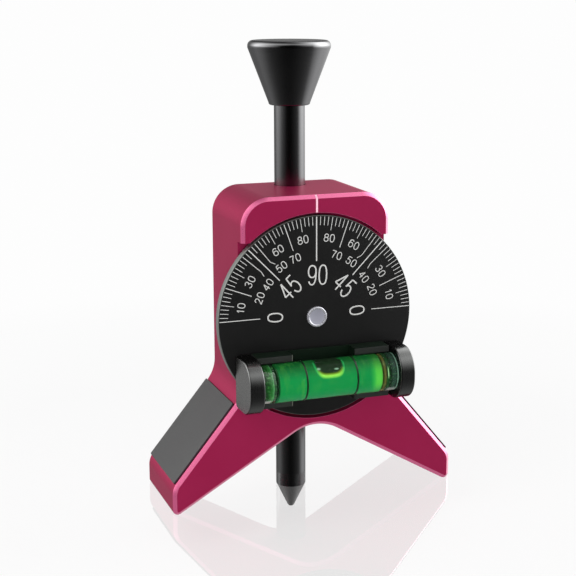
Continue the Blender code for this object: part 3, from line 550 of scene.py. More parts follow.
def bodyCutters():
    s, p = bodyShape, plateShape
    over, flare, edge = s["over"], s["edgeRound"], s["halfWidth"]
    pocketRadius = dialRadius + s["pocketGap"]
    floor = front + s["pocketDepth"]
    steps = [(0, front - over), (pocketRadius + flare + over, front - over), (pocketRadius + flare, front),
             (pocketRadius, front + flare), (pocketRadius, floor), (s["seatRadius"], floor),
             (s["seatRadius"], floor + s["seatDepth"]), (s["holeRadius"], floor + s["seatDepth"]),
             (s["holeRadius"], floor + s["holeDepth"]), (0, floor + s["holeDepth"])]
    yield turned("pocketCut", steps, s["pocketFacets"], crimson, "Y", dialMiddle)
    hornEnd = dialHeight + math.sqrt(pocketRadius ** 2 - edge ** 2) + s["hornTrim"]
    hornInner = math.sqrt(pocketRadius ** 2 - (hornEnd - dialHeight) ** 2) - s["boreGap"]
    for side, name in sides:
        near, far = sorted((side * hornInner, side * (edge + over)))
        yield block(f"hornCut_{name}", (near, front - over, dialHeight), (far, floor, hornEnd), crimson)
    bore, top = rodRadius + s["guideGap"], bodyHigh.z
    steps = [(0, -2 * bore), (bore, -2 * bore), (bore, top - flare), (bore + flare, top),
             (bore + flare + over, top + over), (0, top + over)]
    yield turned("boreCut", steps, s["boreFacets"], crimson)
    reach = (plungerHigh.z - plungerLow.z) / 2 + s["plungerGap"]
    steps = [(0, 0), (reach, 0), (reach, edge - 2 * flare), (reach + 2 * flare, edge),
             (reach + 2 * flare + over, edge + over), (0, edge + over)]
    yield turned("plungerCut", steps, s["plungerFacets"], crimson, "X", dialMiddle)
    for side, name in sides:
        yield plateSlab(side, p["seam"], over, p["proud"] - p["thick"], over, f"plateCut_{name}", crimson)


def makeBody():
    s = bodyShape
    builder = prism([(q.x, front, q.y) for q in bodyOutline()], (0, rear - front, 0))
    for depth, offset, segments in ((front, s["chamfer"], 1), (front, s["edgeRound"], 2),
                                    (front + s["chamfer"], s["edgeRound"], 2), (rear, s["rearRound"], 3)):
        found = [e for e in builder.edges if all(abs(v.co.y - depth) < 2 * weld for v in e.verts)]
        bevel(builder, found, offset, segments, False)
    body = evenNormals(cutAll(toPiece("bodyShell", builder, crimson, 30), list(bodyCutters())))
    # the chamfer's faces look half forwards, and take the lighter, partly painted-highlight finish
    return paint(body, (crimsonEdgeHighlight, lambda at, way: 0.45 < -way.y < 0.9 and at.y < front + s["chamfer"]))


def makePlates():
    p = plateShape
    for side, name in sides:
        plate = plateSlab(side, 0, 0, p["proud"] - p["thick"] + p["edge"], p["proud"], f"labelPlate_{name}",
                          plateGrey, p["edge"])
        # painted shadow on the plate's edge walls
        paint(plate, (plateEdgeShade, lambda at, way: way.dot(outOfLeg(side)) < 0.5))
        seat(plate, "body", "label_plate", f"label_plate_{name}")


def makeIndexLine():     # the pale line from the dial's pocket up and over the chamfer
    s, k = bodyShape, indexShape
    bottom = dialHeight + dialRadius + s["pocketGap"] + s["edgeRound"]
    top, knee, back = bodyHigh.z, bodyHigh.z - s["chamfer"], front + s["chamfer"]
    lift, sunk = k["proud"], k["sunk"]
    profile = [(front - lift, bottom), (front - lift, knee + lift * 0.4),
               (back - 1.4 * lift - k["short"], top - k["short"]), (back + sunk, top - sunk),
               (front + sunk, knee - sunk), (front + sunk, bottom)]
    outline = [(-k["width"] / 2, y, z) for y, z in profile]
    return extruded("indexLine", outline, (k["width"], 0, 0), line)


seat(makeBody(), "body", "anodised_body", "y_body")
makePlates()
seat(makeIndexLine(), "body", "anodised_body")
print("body made")


# the dial and its scale
dialShape = sized(dict(edge=0.18, hole=1.8), facets=256)
scaleShape = sized(dict(rim=25.2, zeroRise=0.66, print=0.03, lift=0.01), step=2.5, spread=0.985)
# inner radius and width in millimetres of the marks at these degrees from the vertical, and of all the others
markShape = {0: (14.1, 0.3), 45: (13.8, 0.255), 90: (14.8, 0.185), **dict.fromkeys((20, 70), (18.15, 0.185)),
             **dict.fromkeys((10, 30, 60, 80), (21.9, 0.14)), "other": (23.05, 0.14)}
# the 40 and 50 marks run in from the rim and then bend towards their numbers
leaderShape = sized(dict(bend=19.0, end=17.75, width=0.185), marks={40: (39.4, 37.4), 50: (49.3, 50.6)})
printDepth = dialFace - scaleShape["lift"] - scaleShape["print"] / 2


def makeDial():
    s = dialShape
    rim = dialRadius - s["edge"]
    profile = [(s["hole"], dialFace), *arcPoints((rim, dialFace + s["edge"]), s["edge"], -90, 0, 4),
               *arcPoints((rim, dialHigh.y - s["edge"]), s["edge"], 0, 90, 4), (s["hole"], dialHigh.y)]
    return turned("dialDisc", profile, s["facets"], dialBlack, "Y", dialMiddle)


def printTree(name, labels, build):     # every tree takes the points of some marks and prints them in their finish
    tree = bpy.data.node_groups.new(name, "GeometryNodeTree")
    for label, kind in [("Geometry", "Geometry"), *((label, "Float") for label in labels), ("Finish", "Material")]:
        tree.interface.new_socket(label, in_out="INPUT", socket_type=f"NodeSocket{kind}")
    tree.interface.new_socket("Geometry", in_out="OUTPUT", socket_type="NodeSocketGeometry")
    start, end = tree.nodes.new("NodeGroupInput").outputs, tree.nodes.new("NodeGroupOutput").inputs
    shape = build(tree, start["Geometry"], *(start[label] for label in labels))
    real = addNode(tree, "GeometryNodeRealizeInstances", shape).outputs[0]
    fill(tree, addNode(tree, "GeometryNodeSetMaterial", real, Material=start["Finish"]).outputs[0], end["Geometry"])
    return tree


def named(tree, label):
    return addNode(tree, "GeometryNodeInputNamedAttribute", label, data_type="FLOAT").outputs["Attribute"]


def combined(tree, **values):
    return addNode(tree, "ShaderNodeCombineXYZ", **values).outputs[0]


# each point of the base mesh is one mark; it says how it is turned, where it ends and how wide it is
def marksFrom(tree, points, rim, height):
    inner, turn = named(tree, "inner"), combined(tree, Y=named(tree, "turn"))
    middle = combined(tree, Z=maths(tree, "MULTIPLY", maths(tree, "ADD", rim, inner), 0.5))
    offset = addNode(tree, "ShaderNodeVectorRotate", rotation_type="EULER_XYZ", Vector=middle, Rotation=turn)
    shifted = addNode(tree, "GeometryNodeSetPosition", points, Offset=offset.outputs[0]).outputs[0]
    size = combined(tree, X=named(tree, "stroke"), Y=height, Z=maths(tree, "SUBTRACT", rim, inner))
    cube = addNode(tree, "GeometryNodeMeshCube", (1, 1, 1)).outputs["Mesh"]
    return addNode(tree, "GeometryNodeInstanceOnPoints", shifted, Instance=cube, Rotation=turn, Scale=size).outputs[0]


# every stroke is a line of points, and each point says how wide the stroke is there
def strokesFrom(tree, points, share):
    curve = addNode(tree, "GeometryNodeMeshToCurve", points).outputs[0]
    upright = addNode(tree, "GeometryNodeSetCurveNormal", curve, mode="FREE", Normal=(0, -1, 0)).outputs[0]
    ribbon = addNode(tree, "GeometryNodeCurvePrimitiveQuadrilateral", share, 1).outputs[0]
    sweep = {"Profile Curve": ribbon, "Scale": named(tree, "stroke"), "Fill Caps": True}
    return addNode(tree, "GeometryNodeCurveToMesh", upright, **sweep).outputs[0]


def printed(name, points, edges, tree, inputs, **values):     # values holds a list for each attribute
    mesh = bpy.data.meshes.new(name)
    mesh.from_pydata(points, edges, [])
    for label, numbers in values.items():
        mesh.attributes.new(label, "FLOAT", "POINT").data.foreach_set("value", numbers)
    piece = linked(name, mesh)
    step = piece.modifiers.new(name, "NODES")
    step.node_group = tree
    inputs = {**inputs, "Finish": marks}
    for item in tree.interface.items_tree:
        if item.in_out == "INPUT" and item.name in inputs:
            step[item.identifier] = inputs[item.name]
    return applyModifiers(piece)


def markList():     # (degrees from the vertical, inner radius, stroke width, rise)
    s = scaleShape
    count = int(90 / s["step"])
    for place in (index * s["step"] for index in range(-count, count + 1)):
        if abs(place) in leaderShape["marks"]:
            continue
        isZero = abs(place) == 90
        inner, width = markShape.get(abs(place), markShape["other"])
        yield place * (1 if isZero else s["spread"]), inner * mm, width * mm, s["zeroRise"] if isZero else 0


def makeMarks():
    angles, inner, widths, rises = zip(*markList())
    tree = printTree("dialMarks", ("Rim Radius", "Print Height"), marksFrom)
    return printed("dialMarks", [(0, printDepth, dialHeight + rise) for rise in rises], [], tree,
                   {"Rim Radius": scaleShape["rim"], "Print Height": scaleShape["print"]},
                   turn=[math.radians(angle) for angle in angles], inner=inner, stroke=widths)


seat(makeDial(), "dial", "black_dial", "dial_disc")
seat(makeMarks(), "dial", "black_dial")

strokeShape = sized(dict(step=0.0015), steps=4, share=0.08)     # crossing strokes lie at different heights
strokeTree = printTree("dialStrokes", ("Print Share",), strokesFrom)


def onDial(radius, degrees):
    angle = math.radians(degrees)
    return Vector((radius * math.sin(angle), printDepth, dialHeight + radius * math.cos(angle)))


def strokePiece(name, strokes):     # strokes are (points, width)
    points, edges, widths = [], [], []
    for index, (path, width) in enumerate(strokes):
        first = len(points)
        closed = path[0] == path[-1]
        path = path[:-1] if closed else path
        step = Vector((0, -strokeShape["step"] * (index % strokeShape["steps"]), 0))
        points += [point + step for point in path]
        widths += [width] * len(path)
        edges += [(first + k, first + k + 1) for k in range(len(path) - 1)]
        if closed:
            edges.append((len(points) - 1, first))
    return printed(name, points, edges, strokeTree, {"Print Share": strokeShape["share"]}, stroke=widths)


def makeLeaders():
    s = leaderShape
    strokes = [([onDial(scaleShape["rim"], side * first), onDial(s["bend"], side * first),
                 onDial(s["end"], side * last)], s["width"])
               for side, _ in sides for first, last in s["marks"].values()]
    return strokePiece("dialLeaders", strokes)


seat(makeLeaders(), "dial", "black_dial")


def oval(acrossMiddle, upMiddle, across, up, first, last, squareness=1.0):     # points in a digit's unit box
    count = max(4, round(abs(last - first) / 12))
    found = []
    for step in range(count + 1):
        angle = math.radians(first + (last - first) * step / count)
        c, s = math.cos(angle), math.sin(angle)
        found.append((acrossMiddle + across * math.copysign(abs(c) ** squareness, c),
                      upMiddle + up * math.copysign(abs(s) ** squareness, s)))
    return found


def ring(acrossMiddle, upMiddle, across, up, squareness=1.0):     # a closed stroke ends where it begins
    points = oval(acrossMiddle, upMiddle, across, up, 0, 348, squareness)
    return points + points[:1]


sixLoop = ring(0.5, 0.31, 0.5, 0.31, 0.9)
sixTail = oval(0.52, 0.74, 0.42, 0.26, 15, 90, 0.9) + oval(0.5, 0.45, 0.5, 0.55, 100, 180, 0.9) + [(0.0, 0.33)]
digitStrokes = {
    "0": [ring(0.5, 0.5, 0.5, 0.5, 0.82)],
    "1": [[(0.14, 0.74), (0.42, 0.86), (0.58, 1.0)], [(0.6, 1.0), (0.6, 0.0)]],
    "2": [oval(0.48, 0.71, 0.45, 0.29, 172, -25) + [(0.62, 0.4), (0.22, 0.16), (0.04, 0.0)], [(0.0, 0.0), (1.0, 0.0)]],
    "3": [oval(0.47, 0.76, 0.43, 0.24, 165, -85), oval(0.47, 0.27, 0.5, 0.27, 88, -165)],
    "4": [[(0.7, 1.0), (0.0, 0.3)], [(0.0, 0.3), (1.0, 0.3)], [(0.7, 1.0), (0.7, 0.0)]],
    "5": [[(0.92, 1.0), (0.2, 1.0)], [(0.2, 1.0), (0.08, 0.5)], oval(0.48, 0.33, 0.5, 0.33, 145, -165)],
    "6": [sixLoop, sixTail],
    "7": [[(0.0, 1.0), (1.0, 1.0)], [(1.0, 1.0), (0.62, 0.55), (0.4, 0.0)]],
    "8": [ring(0.5, 0.76, 0.43, 0.24), ring(0.5, 0.27, 0.5, 0.27)],
    "9": [[(1 - x, 1 - z) for x, z in path] for path in (sixLoop, sixTail)]}

# each size has its height, digit width, space between digits and stroke width, in millimetres
numberShape = {"small": (2.07, 1.3, 0.28, 0.215), "big": (5.2, 2.35, 0.48, 0.37), "zero": (4.15, 2.45, 0, 0.36)}
narrowOne = 0.75
# label, degrees left and right of the vertical, radius in millimetres, size
numberRows = [("80", -10.3, 9.7, 19.95, "small"), ("60", -29.9, 29.5, 20.15, "small"),
              ("30", -59.6, 59.2, 20.05, "small"), ("10", -79.2, 78.2, 20.05, "small"),
              ("70", -20.3, 19.2, 16.1, "small"), ("50", -34.6, 35.0, 16.15, "small"),
              ("40", -54.4, 54.2, 15.6, "small"), ("20", -68.4, 69.3, 16.0, "small"),
              ("45", -41.9, 45.0, 10.5, "big"), ("0", -86.6, 86.6, 10.9, "zero")]
ninetyRow = ("90", 1.4, 10.55, "big")     # it stands over the rivet


def labelStrokes(label, degrees, radius, size):
    height, width, gap, stroke = numberShape[size]
    spans = [width * (narrowOne if digit == "1" else 1) for digit in label]
    left = -(sum(spans) + gap * (len(label) - 1)) / 2
    place = onDial(radius * mm, degrees)
    turn = Matrix.Rotation(math.radians(degrees), 3, "Y")
    for digit, span in zip(label, spans):
        for points in digitStrokes[digit]:
            yield [place + turn @ Vector(((left + stroke / 2 + x * (span - stroke)) * mm, 0,
                                          ((z - 0.5) * (height - stroke)) * mm)) for x, z in points], stroke * mm
        left += span + gap


def makeNumbers():
    strokes = list(labelStrokes(*ninetyRow))
    for label, leftward, rightward, radius, size in numberRows:
        for degrees in (leftward, rightward):
            strokes += labelStrokes(label, degrees, radius, size)
    return strokePiece("dialNumbers", strokes)


seat(makeNumbers(), "dial", "black_dial")

rivetShape = sized(dict(set=0.42, grow=0.1, rimRound=0.3, innerRim=0.06, dishRadius=2.05, dishEdge=0.1,
                        dishDepth=0.14, shank=1.5, backGap=0.02), facets=96)


def makeRivet():
    s = rivetShape
    radius, top, back = rivetHigh.x + s["grow"], rivetLow.y + s["set"], dialFace - s["backGap"]
    rim, dish = (radius - s["rimRound"], top + s["rimRound"]), top + s["dishDepth"]
    profile = [(0, dish), (s["dishRadius"] - s["dishEdge"], dish),
               *arcPoints((rim[0] - s["innerRim"], rim[1]), s["rimRound"], -130, -90, 4),
               *arcPoints(rim, s["rimRound"], -90, 0, 8),
               (radius, back), (s["shank"], back), (s["shank"], rivetHigh.y), (0, rivetHigh.y)]
    rivet = turned("pivotRivet", profile, s["facets"], rimSteel, "Y", dialMiddle, 50)
    reach = s["dishRadius"] - 0.8 * s["dishEdge"]
    return paint(rivet, (dishSteel, lambda at, way: (at - dialMiddle - Vector((0, at.y, 0))).length < reach
                         and at.y < top + 2 * s["dishDepth"]))


seat(makeRivet(), "body", "bright_steel", "pivot_rivet")
print("dial made")


# the level vial with its holder
vialShape = sized(dict(liquidRadius=4.8, shellBore=4.83, tube=4.9, ringWidth=0.42, ringShift=0.3, ringProud=0.03,
                       ringDeep=0.12, ringEdge=0.05, ringRound=0.04, plugRadius=4.74, round=0.3), facets=128)
bubbleShape = sized(dict(halfLength=4.15, sunk=0.05, lift=0.02, dome=0.01), halfTurn=math.radians(78),
                    squareness=0.56, rings=24, spokes=96)
holderShape = sized(dict(edge=0.1, window=16.4, web=1.1, flare=0.25, capEdge=0.35, capBack=1.2, cupGap=0.12,
                         cupEnd=0.1, backGap=0.35, footHalf=14, footInset=0.3, over=2), facets=128,
                    edgeFacets=48)


def alongVial(name, profile, finish, smoothAngle=35):     # profile is (radius, x) points
    return turned(name, profile, vialShape["facets"], finish, "X", vialMiddle, smoothAngle)


def band(inner, outer, low, high):
    return [(inner, low), (outer, low), (outer, high), (inner, high)]


def makeLiquid():
    r, e = vialShape["liquidRadius"], vialShape["round"]
    low, high = liquidLow.x, liquidHigh.x
    profile = [(0, low), (r - e, low), (r, low + e), (r, high - e), (r - e, high), (0, high)]
    return alongVial("vialLiquid", profile, liquidGreen)


def makeBubble():     # an oval patch over the tube's top, with its edge and lowness kept for the finish
    s = bubbleShape
    builder = bmesh.new()
    for label in ("edge", "lowness"):
        builder.verts.layers.float.new(label)
    edgeOf, lownessOf = (builder.verts.layers.float[label] for label in ("edge", "lowness"))

    def ringOf(top, share, count):
        found = []
        radius = vialShape["liquidRadius"] - s["sunk"]
        if top:
            radius = vialShape["liquidRadius"] + s["lift"] * (1 - share ** 6) + s["dome"] * (1 - share ** 2)
        for spoke in range(count):
            angle = math.tau * spoke / s["spokes"]
            along, around = (share * math.copysign(abs(v) ** s["squareness"], v)
                             for v in (math.cos(angle), math.sin(angle)))
            turn = s["halfTurn"] * around
            vert = builder.verts.new((s["halfLength"] * along, vialDepth - radius * math.sin(turn),
                                      vialHeight + radius * math.cos(turn)))
            vert[edgeOf], vert[lownessOf] = share, abs(math.sin(angle)) * share
            found.append(vert)
        return found
    shells = [[ringOf(top, ring / s["rings"], s["spokes"] if ring else 1) for ring in range(s["rings"] + 1)]
              for top in (False, True)]
    for spoke in range(s["spokes"]):
        ahead = (spoke + 1) % s["spokes"]
        for grid in shells:
            builder.faces.new((grid[0][0], grid[1][spoke], grid[1][ahead]))
            for inner, outer in zip(grid[1:], grid[2:]):
                builder.faces.new((inner[spoke], outer[spoke], outer[ahead], inner[ahead]))
        low, high = (grid[-1] for grid in shells)
        builder.faces.new((low[spoke], low[ahead], high[ahead], high[spoke]))
    return toPiece("vialBubble", builder, bubbleFinish, 40)


def makeTube():
    return alongVial("vialTube", band(vialShape["shellBore"], vialShape["tube"], -tubeHigh.x, tubeHigh.x), acrylic)


def makeRings():
    s = vialShape
    outer = s["tube"] + s["ringProud"]
    inner, wide, deep = outer - s["ringDeep"], s["ringEdge"], s["ringRound"]
    for side, name in sides:
        middle = side * (ringLow.x + ringHigh.x) / 2 + s["ringShift"]
        near, far = middle - s["ringWidth"] / 2, middle + s["ringWidth"] / 2
        profile = [(inner, near), (outer - deep, near), (outer, near + wide), (outer, far - wide),
                   (outer - deep, far), (inner, far)]
        seat(alongVial(f"vialRing_{name}", profile, ringBlack), "dial", "ring_black", f"vial_ring_{name}")


def makePlugs():
    r, e = vialShape["plugRadius"], vialShape["round"]
    start, end = plugLow.x, plugHigh.x
    for side, name in sides:
        steps = [(0, start), (r - e, start), (r, start + e), (r, end), (0, end)]
        plug = alongVial(f"vialPlug_{name}", [(radius, side * along) for radius, along in steps], plugGreen, 50)
        seat(plug, "dial", "clear_acrylic", f"vial_plug_{name}")


def makeCradle():
    s = holderShape
    half = (cradleHigh.z - cradleLow.z) / 2
    low, high = cradleLow.x, cradleHigh.x
    near, back, flare, over = cradleLow.y, front - s["backGap"], s["flare"], s["over"]
    corners = [(back, -half, 0), (near, -half, s["edge"]), (near, half, s["edge"]), (back, half, 0)]
    outline = [(low, q.x, vialHeight + q.y) for q in roundedOutline(corners, s["edgeFacets"])]
    cradle = extruded("vialCradle", outline, (high - low, 0, 0), holderBlack)
    footHalf, inset = s["footHalf"], s["footInset"]
    foot = block("cradleFoot", (-footHalf, back - inset, vialHeight - half + inset),
                 (footHalf, cradleHigh.y, vialHeight + half - inset), holderBlack)
    cutAll(cradle, [foot], "UNION")
    bore = vialShape["tube"] + s["cupGap"]
    trough = alongVial("troughCut", band(0, bore, low - over, high + over), holderBlack)
    w, web = s["window"] / 2, cradleHigh.y - s["web"]
    right = [(w + flare + over, near - over), (w + flare, near), (w, near + flare), (w, web)]
    plan = right + [(-x, y) for x, y in reversed(right)]
    window = extruded("windowCut", [(x, y, vialHeight - half - over) for x, y in plan],
                      (0, 0, 2 * (half + over)), holderBlack)
    cutAll(cradle, [trough, window])

    # the window's inside takes painted shade, and its left corner a painted highlight
    def inWindow(at, way):
        return abs(at.x) < w + touch and at.y > near + flare and at.z > vialHeight

    def onLeftCorner(at, way):
        return -w - flare < at.x < -w and near < at.y < near + flare and abs(way.z) < 0.5
    return evenNormals(paint(cradle, (windowShadeBlack, inWindow), (cornerHighlightGrey, onLeftCorner)))


def makeCaps():
    s = holderShape
    radius = (capHigh.z - capLow.z) / 2
    corners = [(capHigh.y, -radius, s["capBack"]), (vialDepth - radius, -radius, radius),
               (vialDepth - radius, radius, radius), (capHigh.y, radius, s["capBack"])]
    plan = roundedOutline(corners, s["facets"])
    bore = vialShape["tube"] + s["cupGap"]
    for side, name in sides:
        inner, outer = side * capLow.x, side * capHigh.x
        outline = [(inner, q.x, vialHeight + q.y) for q in plan]
        cap = extruded(f"endCap_{name}", outline, (outer - inner, 0, 0), capBlack, s["capEdge"], 4)
        ends = inner - side * s["over"], side * (tubeHigh.x + s["cupEnd"])
        cup = alongVial(f"cupCut_{name}", band(0, bore, *ends), capBlack)
        # painted light: the left cap's outer face alone takes the lighter copy
        paint(cutAll(cap, [cup]), (capEndHighlight, lambda at, way: way.x < -0.9 and side < 0))
        seat(evenNormals(cap), "dial", "black_plastic", f"end_cap_{name}")


seat(makeLiquid(), "dial", "vial_liquid", "vial_fluid")
seat(makeBubble(), "dial", "vial_liquid")
seat(makeTube(), "dial", "clear_acrylic", "vial_tube")
makeRings()
makePlugs()
seat(makeCradle(), "dial", "black_plastic", "vial_cradle")
makeCaps()
print("vial made")


# the punch
punchShape = sized(dict(pointRadius=1.05, coneHeight=6.9, shoulder=0.06, shoulderLow=0.1, endEdge=0.2, slotDepth=1.2,
                        slotHalf=1.6, slotSearch=1.7), facets=128)
knobShape = sized(dict(foot=5.3, footLift=0.4, footRound=0.5, rimRound=1.3, coneHeight=14.8, socketDepth=9.0,
                       socketGap=0.3), facets=160)


def makeRod():
    s = punchShape
    r, foot, end, edge = rodRadius, rodLow.z, rodHigh.z, s["endEdge"]
    coneEnd = foot + s["coneHeight"]
    cone = math.degrees(math.atan2(r, s["coneHeight"]))
    profile = [*arcPoints((0, foot + s["pointRadius"]), s["pointRadius"], -90, -cone, 8),
               (r - s["shoulder"], coneEnd - s["shoulderLow"]), (r, coneEnd + s["shoulder"]),
               (r, end - edge), (r - edge, end), (0, end)]
    rod = turned("punchRod", profile, s["facets"], rodBlack, smoothAngle=25)
    # the plunger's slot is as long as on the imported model
    slotX, slotHalf = r - s["slotDepth"], s["slotHalf"]
    heights = [v.co.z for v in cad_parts["punch_rod"].data.vertices
               if abs(v.co.x - slotX) < 5 * touch and abs(v.co.y) < s["slotSearch"]
               and foot + 2 * s["coneHeight"] < v.co.z < end - mm]
    cutAll(rod, [block("slotCut", (slotX, -slotHalf, min(heights)), (r + 2 * mm, slotHalf, max(heights)), rodBlack)])
    return evenNormals(paint(rod, (pointGrey, lambda at, way: at.z < coneEnd - s["shoulderLow"])))


def makeKnob():
    s = knobShape
    top, foot, edge, small = knobHigh.z, knobLow.z + s["footLift"], s["rimRound"], s["footRound"]
    rim, socket = (knobHigh.x - knobLow.x) / 2, rodRadius + s["socketGap"]
    socketEnd = knobLow.z + s["socketDepth"]
    profile = [(socket, foot), *arcPoints((s["foot"] - small, foot + small), small, -90, 0, 5),
               (rim, knobLow.z + s["coneHeight"]), *arcPoints((rim - edge, top - edge), edge, 0, 90, 10),
               (0, top), (0, socketEnd), (socket, socketEnd)]
    knob = turned("strikingKnob", profile, s["facets"], knobBlack, smoothAngle=32)
    # painted shade on the knob's top, and a painted highlight on its rim
    return paint(knob, (knobTopShade, lambda at, way: way.z > 0.8 and at.z > top - edge),
                 (knobRimHighlight, lambda at, way: way.z > -0.3 and at.z > top - edge))


seat(makeRod(), "punch", "black_metal", "punch_rod")
seat(makeKnob(), "punch", "black_metal", "striking_knob")
print("punch made")

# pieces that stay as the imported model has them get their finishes
kept = {"plunger_body": rodBlack, "plunger_nose": steel, "plunger_spring": steel, "wave_washer": steel,
        "friction_washer": washerPolymer, "cradle_screw_left": steel, "cradle_screw_right": steel}
for nodeName, finish in kept.items():
    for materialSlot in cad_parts[nodeName].material_slots:
        materialSlot.material = finish


# floor, light and camera
stageShape = {"floorRadius": 0.45, "fade": (0.1, 0.22), "floorGap": 0.1 * mm, "floorShow": 0.8, "floorTop": 1.1,
              "floorBounce": 0.25, "mirrorRadius": 0.3, "mirrorGap": 0.05 * mm, "mirrorShare": 0.22,
              "white": 0.984, "level": 0.45, "facets": 96}
# what metal reflects: light from behind (0) to the dark in front (1), dim straight up and down, a long soft box
# above on the left and on the right, and a bright wall behind on the right
studioStops = greyStops((0.0, 0.42), (0.1, 0.45), (0.35, 0.46), (0.5, 0.34), (0.66, 0.18), (0.78, 0.09), (0.88, 0.05),
                        (1.0, 0.0))
studioShape = {"ahead": (-0.355, -0.935, 0), "right": (0.935, -0.355, 0), "rightFrom": (-0.1, 0.15),
               "dims": ((-0.95, -0.5, 0.8), (0.98, 0.7, 0.25)), "wallSide": (0.983, 0.194, 0),
               "wallFrom": (0.6, 0.97), "wallLow": (-0.75, -0.25, 0.16, 0.28), "wallHigh": (-0.22, 0.02, 0, 0.72),
               "wall": 3.3, "edgeFrom": (-0.85, -0.98), "edgeHeight": (-0.45, -0.2), "edge": 0.2,
               "foot": ((-0.15, 0.12), (0.0, 0.5)), "boxLean": -0.35,
               "head": ((0.95, 0.62), (1.0, 0.8)), "front": ((0.92, -0.15), (0.85, -0.24)),
               "back": ((-0.77, -0.3), (-1.0, -0.6)), "box": 2.4}


def disc(name, radius, level, finish):
    builder = bmesh.new()
    bmesh.ops.create_circle(builder, cap_ends=True, segments=stageShape["facets"], radius=radius)
    bmesh.ops.translate(builder, verts=builder.verts, vec=(0, 0, level))
    toPiece(name, builder, finish)


def rayKinds(tree):     # rays that see plain white (the floor's own mirror sees it too), and metal's reflections
    path = addNode(tree, "ShaderNodeLightPath").outputs
    seen = maths(tree, "MAXIMUM", path["Is Camera Ray"], path["Is Transmission Ray"])
    return maths(tree, "MAXIMUM", seen, path["Is Singular Ray"]), path["Is Glossy Ray"]


def mixShaders(tree, share, first, second):
    return addNode(tree, "ShaderNodeMixShader", share, first, second).outputs[0]


def clearOf(tree):
    return addNode(tree, "ShaderNodeBsdfTransparent").outputs[0]


def makeFloor():     # white to the eye, with a part of its own light left in, so that the shadow shows
    finish, tree, place = finishOf("paleFloor")
    s = stageShape
    dress(tree, (0.9, 0.9, 0.9), 0.9, specular=0.0)
    seen, glossy = rayKinds(tree)
    away = lengthOf(tree, place)
    share = mixNumbers(tree, seen, s["floorBounce"], remap(tree, away, *s["fade"], s["floorShow"], 1))
    glow = addNode(tree, "ShaderNodeEmission", Strength=remap(tree, away, *s["fade"], s["floorTop"], s["white"]))
    both = mixShaders(tree, share, tree.nodes["Principled BSDF"].outputs[0], glow.outputs[0])
    # metal sees the studio's white through the floor
    fill(tree, mixShaders(tree, glossy, both, clearOf(tree)), tree.nodes["Material Output"].inputs["Surface"])
    disc("floor", s["floorRadius"], rodLow.z - s["floorGap"], finish)


def makeMirror():     # a faint reflection under the feet, which the photograph has
    finish, tree, place = finishOf("faintMirror")
    s = stageShape
    fade = remap(tree, lengthOf(tree, place), *s["fade"], s["mirrorShare"], 0)
    share = times(tree, addNode(tree, "ShaderNodeLightPath").outputs["Is Camera Ray"], fade)
    gloss = addNode(tree, "ShaderNodeBsdfGlossy", Roughness=0.0).outputs[0]
    fill(tree, mixShaders(tree, share, clearOf(tree), gloss), tree.nodes["Material Output"].inputs["Surface"])
    disc("mirrorSheet", s["mirrorRadius"], bodyLow.z - s["mirrorGap"], finish)


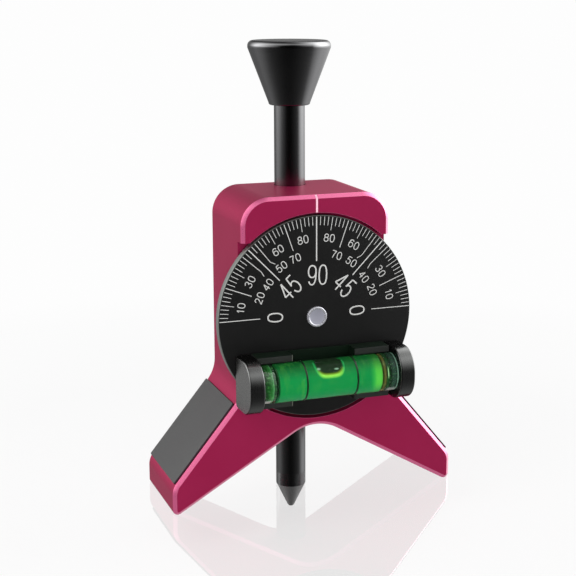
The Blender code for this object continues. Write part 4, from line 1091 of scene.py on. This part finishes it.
def makeWorld():
    world = bpy.data.worlds.new("studio")
    bpy.context.scene.world = world
    world.use_nodes = True
    tree = world.node_tree
    seen, glossy = rayKinds(tree)
    aim = addNode(tree, "ShaderNodeTexCoord").outputs["Generated"]
    k = studioShape

    def along(direction):
        return addNode(tree, "ShaderNodeVectorMath", aim, direction, operation="DOT_PRODUCT").outputs["Value"]

    def plus(first, second):
        return maths(tree, "ADD", first, second)

    def either(spans, left, right):     # one span on the left and another on the right
        return mixNumbers(tree, isRight, remap(tree, left, *spans[0]), remap(tree, right, *spans[1]))
    ahead, across, height = along(k["ahead"]), along(k["right"]), along((0, 0, 1))
    isRight = remap(tree, across, *k["rightFrom"])
    around = rampOf(tree, remap(tree, ahead, -1, 1), studioStops)
    for first, last, level in k["dims"]:
        around = times(tree, around, remap(tree, height, first, last, level, 1))
    rise = plus(remap(tree, height, *k["wallLow"]), remap(tree, height, *k["wallHigh"]))
    wall = remap(tree, along(k["wallSide"]), *k["wallFrom"], 0, k["wall"])
    around = plus(around, times(tree, wall, rise))
    edge = remap(tree, across, *k["edgeFrom"], 0, k["edge"])
    around = plus(around, times(tree, edge, remap(tree, height, *k["edgeHeight"])))
    lean = plus(height, times(tree, ahead, k["boxLean"]))
    box = times(tree, either(k["foot"], height, height), either(k["head"], lean, height),
                either(k["front"], ahead, ahead), either(k["back"], ahead, ahead), k["box"])
    plain = mixColours(tree, glossy, (stageShape["level"],) * 3, plus(around, box))
    back = tree.nodes["Background"].inputs
    fill(tree, mixColours(tree, seen, plain, (stageShape["white"],) * 3), back["Color"])
    back["Strength"].default_value = 1


# place, size and power
lampRows = {"upperLeft": ((-0.40, -0.27, 0.46), (0.32, 0.32), 1.3), "right": ((0.60, -0.10, 0.14), (0.3, 0.5), 1.1),
            "front": ((-0.15, -0.75, 0.10), (0.6, 0.3), 2.5), "low": ((-0.03, -0.125, -0.015), (0.16, 0.02), 0.028)}
lampTarget = Vector((0, -10 * mm, 15 * mm))


def makeLamps():
    for name, (place, size, power) in lampRows.items():
        data = bpy.data.lights.new(f"lamp_{name}", "AREA")
        data.shape = "RECTANGLE"
        data.size, data.size_y = size
        data.energy = power
        lamp = linked(f"lamp_{name}", data)
        lamp.location = place
        lamp.rotation_euler = (lampTarget - lamp.location).to_track_quat("-Z", "Y").to_euler()
        lamp.visible_camera = False
        lamp.visible_glossy = False     # metal reflects the studio that the world gives


# focal length and centre in pixels of an image of that size
cameraShape = {"target": (-0.42 * mm, -19.8 * mm, 38.18 * mm), "distance": 331.0 * mm, "yaw": math.radians(-20.79),
               "pitch": math.radians(12.0), "focal": 1340.0, "centre": (315.4, 270.9), "image": 576, "sensor": 36}


def makeCamera():
    s = cameraShape
    yaw, pitch, image = s["yaw"], s["pitch"], s["image"]
    back = Vector((math.sin(yaw) * math.cos(pitch), -math.cos(yaw) * math.cos(pitch), math.sin(pitch)))
    data = bpy.data.cameras.new("camera")
    data.sensor_width = s["sensor"]
    data.lens = s["focal"] / image * s["sensor"]
    data.shift_x = (image / 2 - s["centre"][0]) / image
    data.shift_y = (s["centre"][1] - image / 2) / image
    data.clip_start = 0.01
    data.clip_end = 10
    camera = linked("camera", data)
    camera.location = Vector(s["target"]) + back * s["distance"]
    camera.rotation_euler = (-back).to_track_quat("-Z", "Y").to_euler()
    bpy.context.scene.camera = camera


makeFloor()
makeMirror()
makeWorld()
makeLamps()
makeCamera()
bpy.context.scene.view_settings.view_transform = "Standard"
print("stage made")
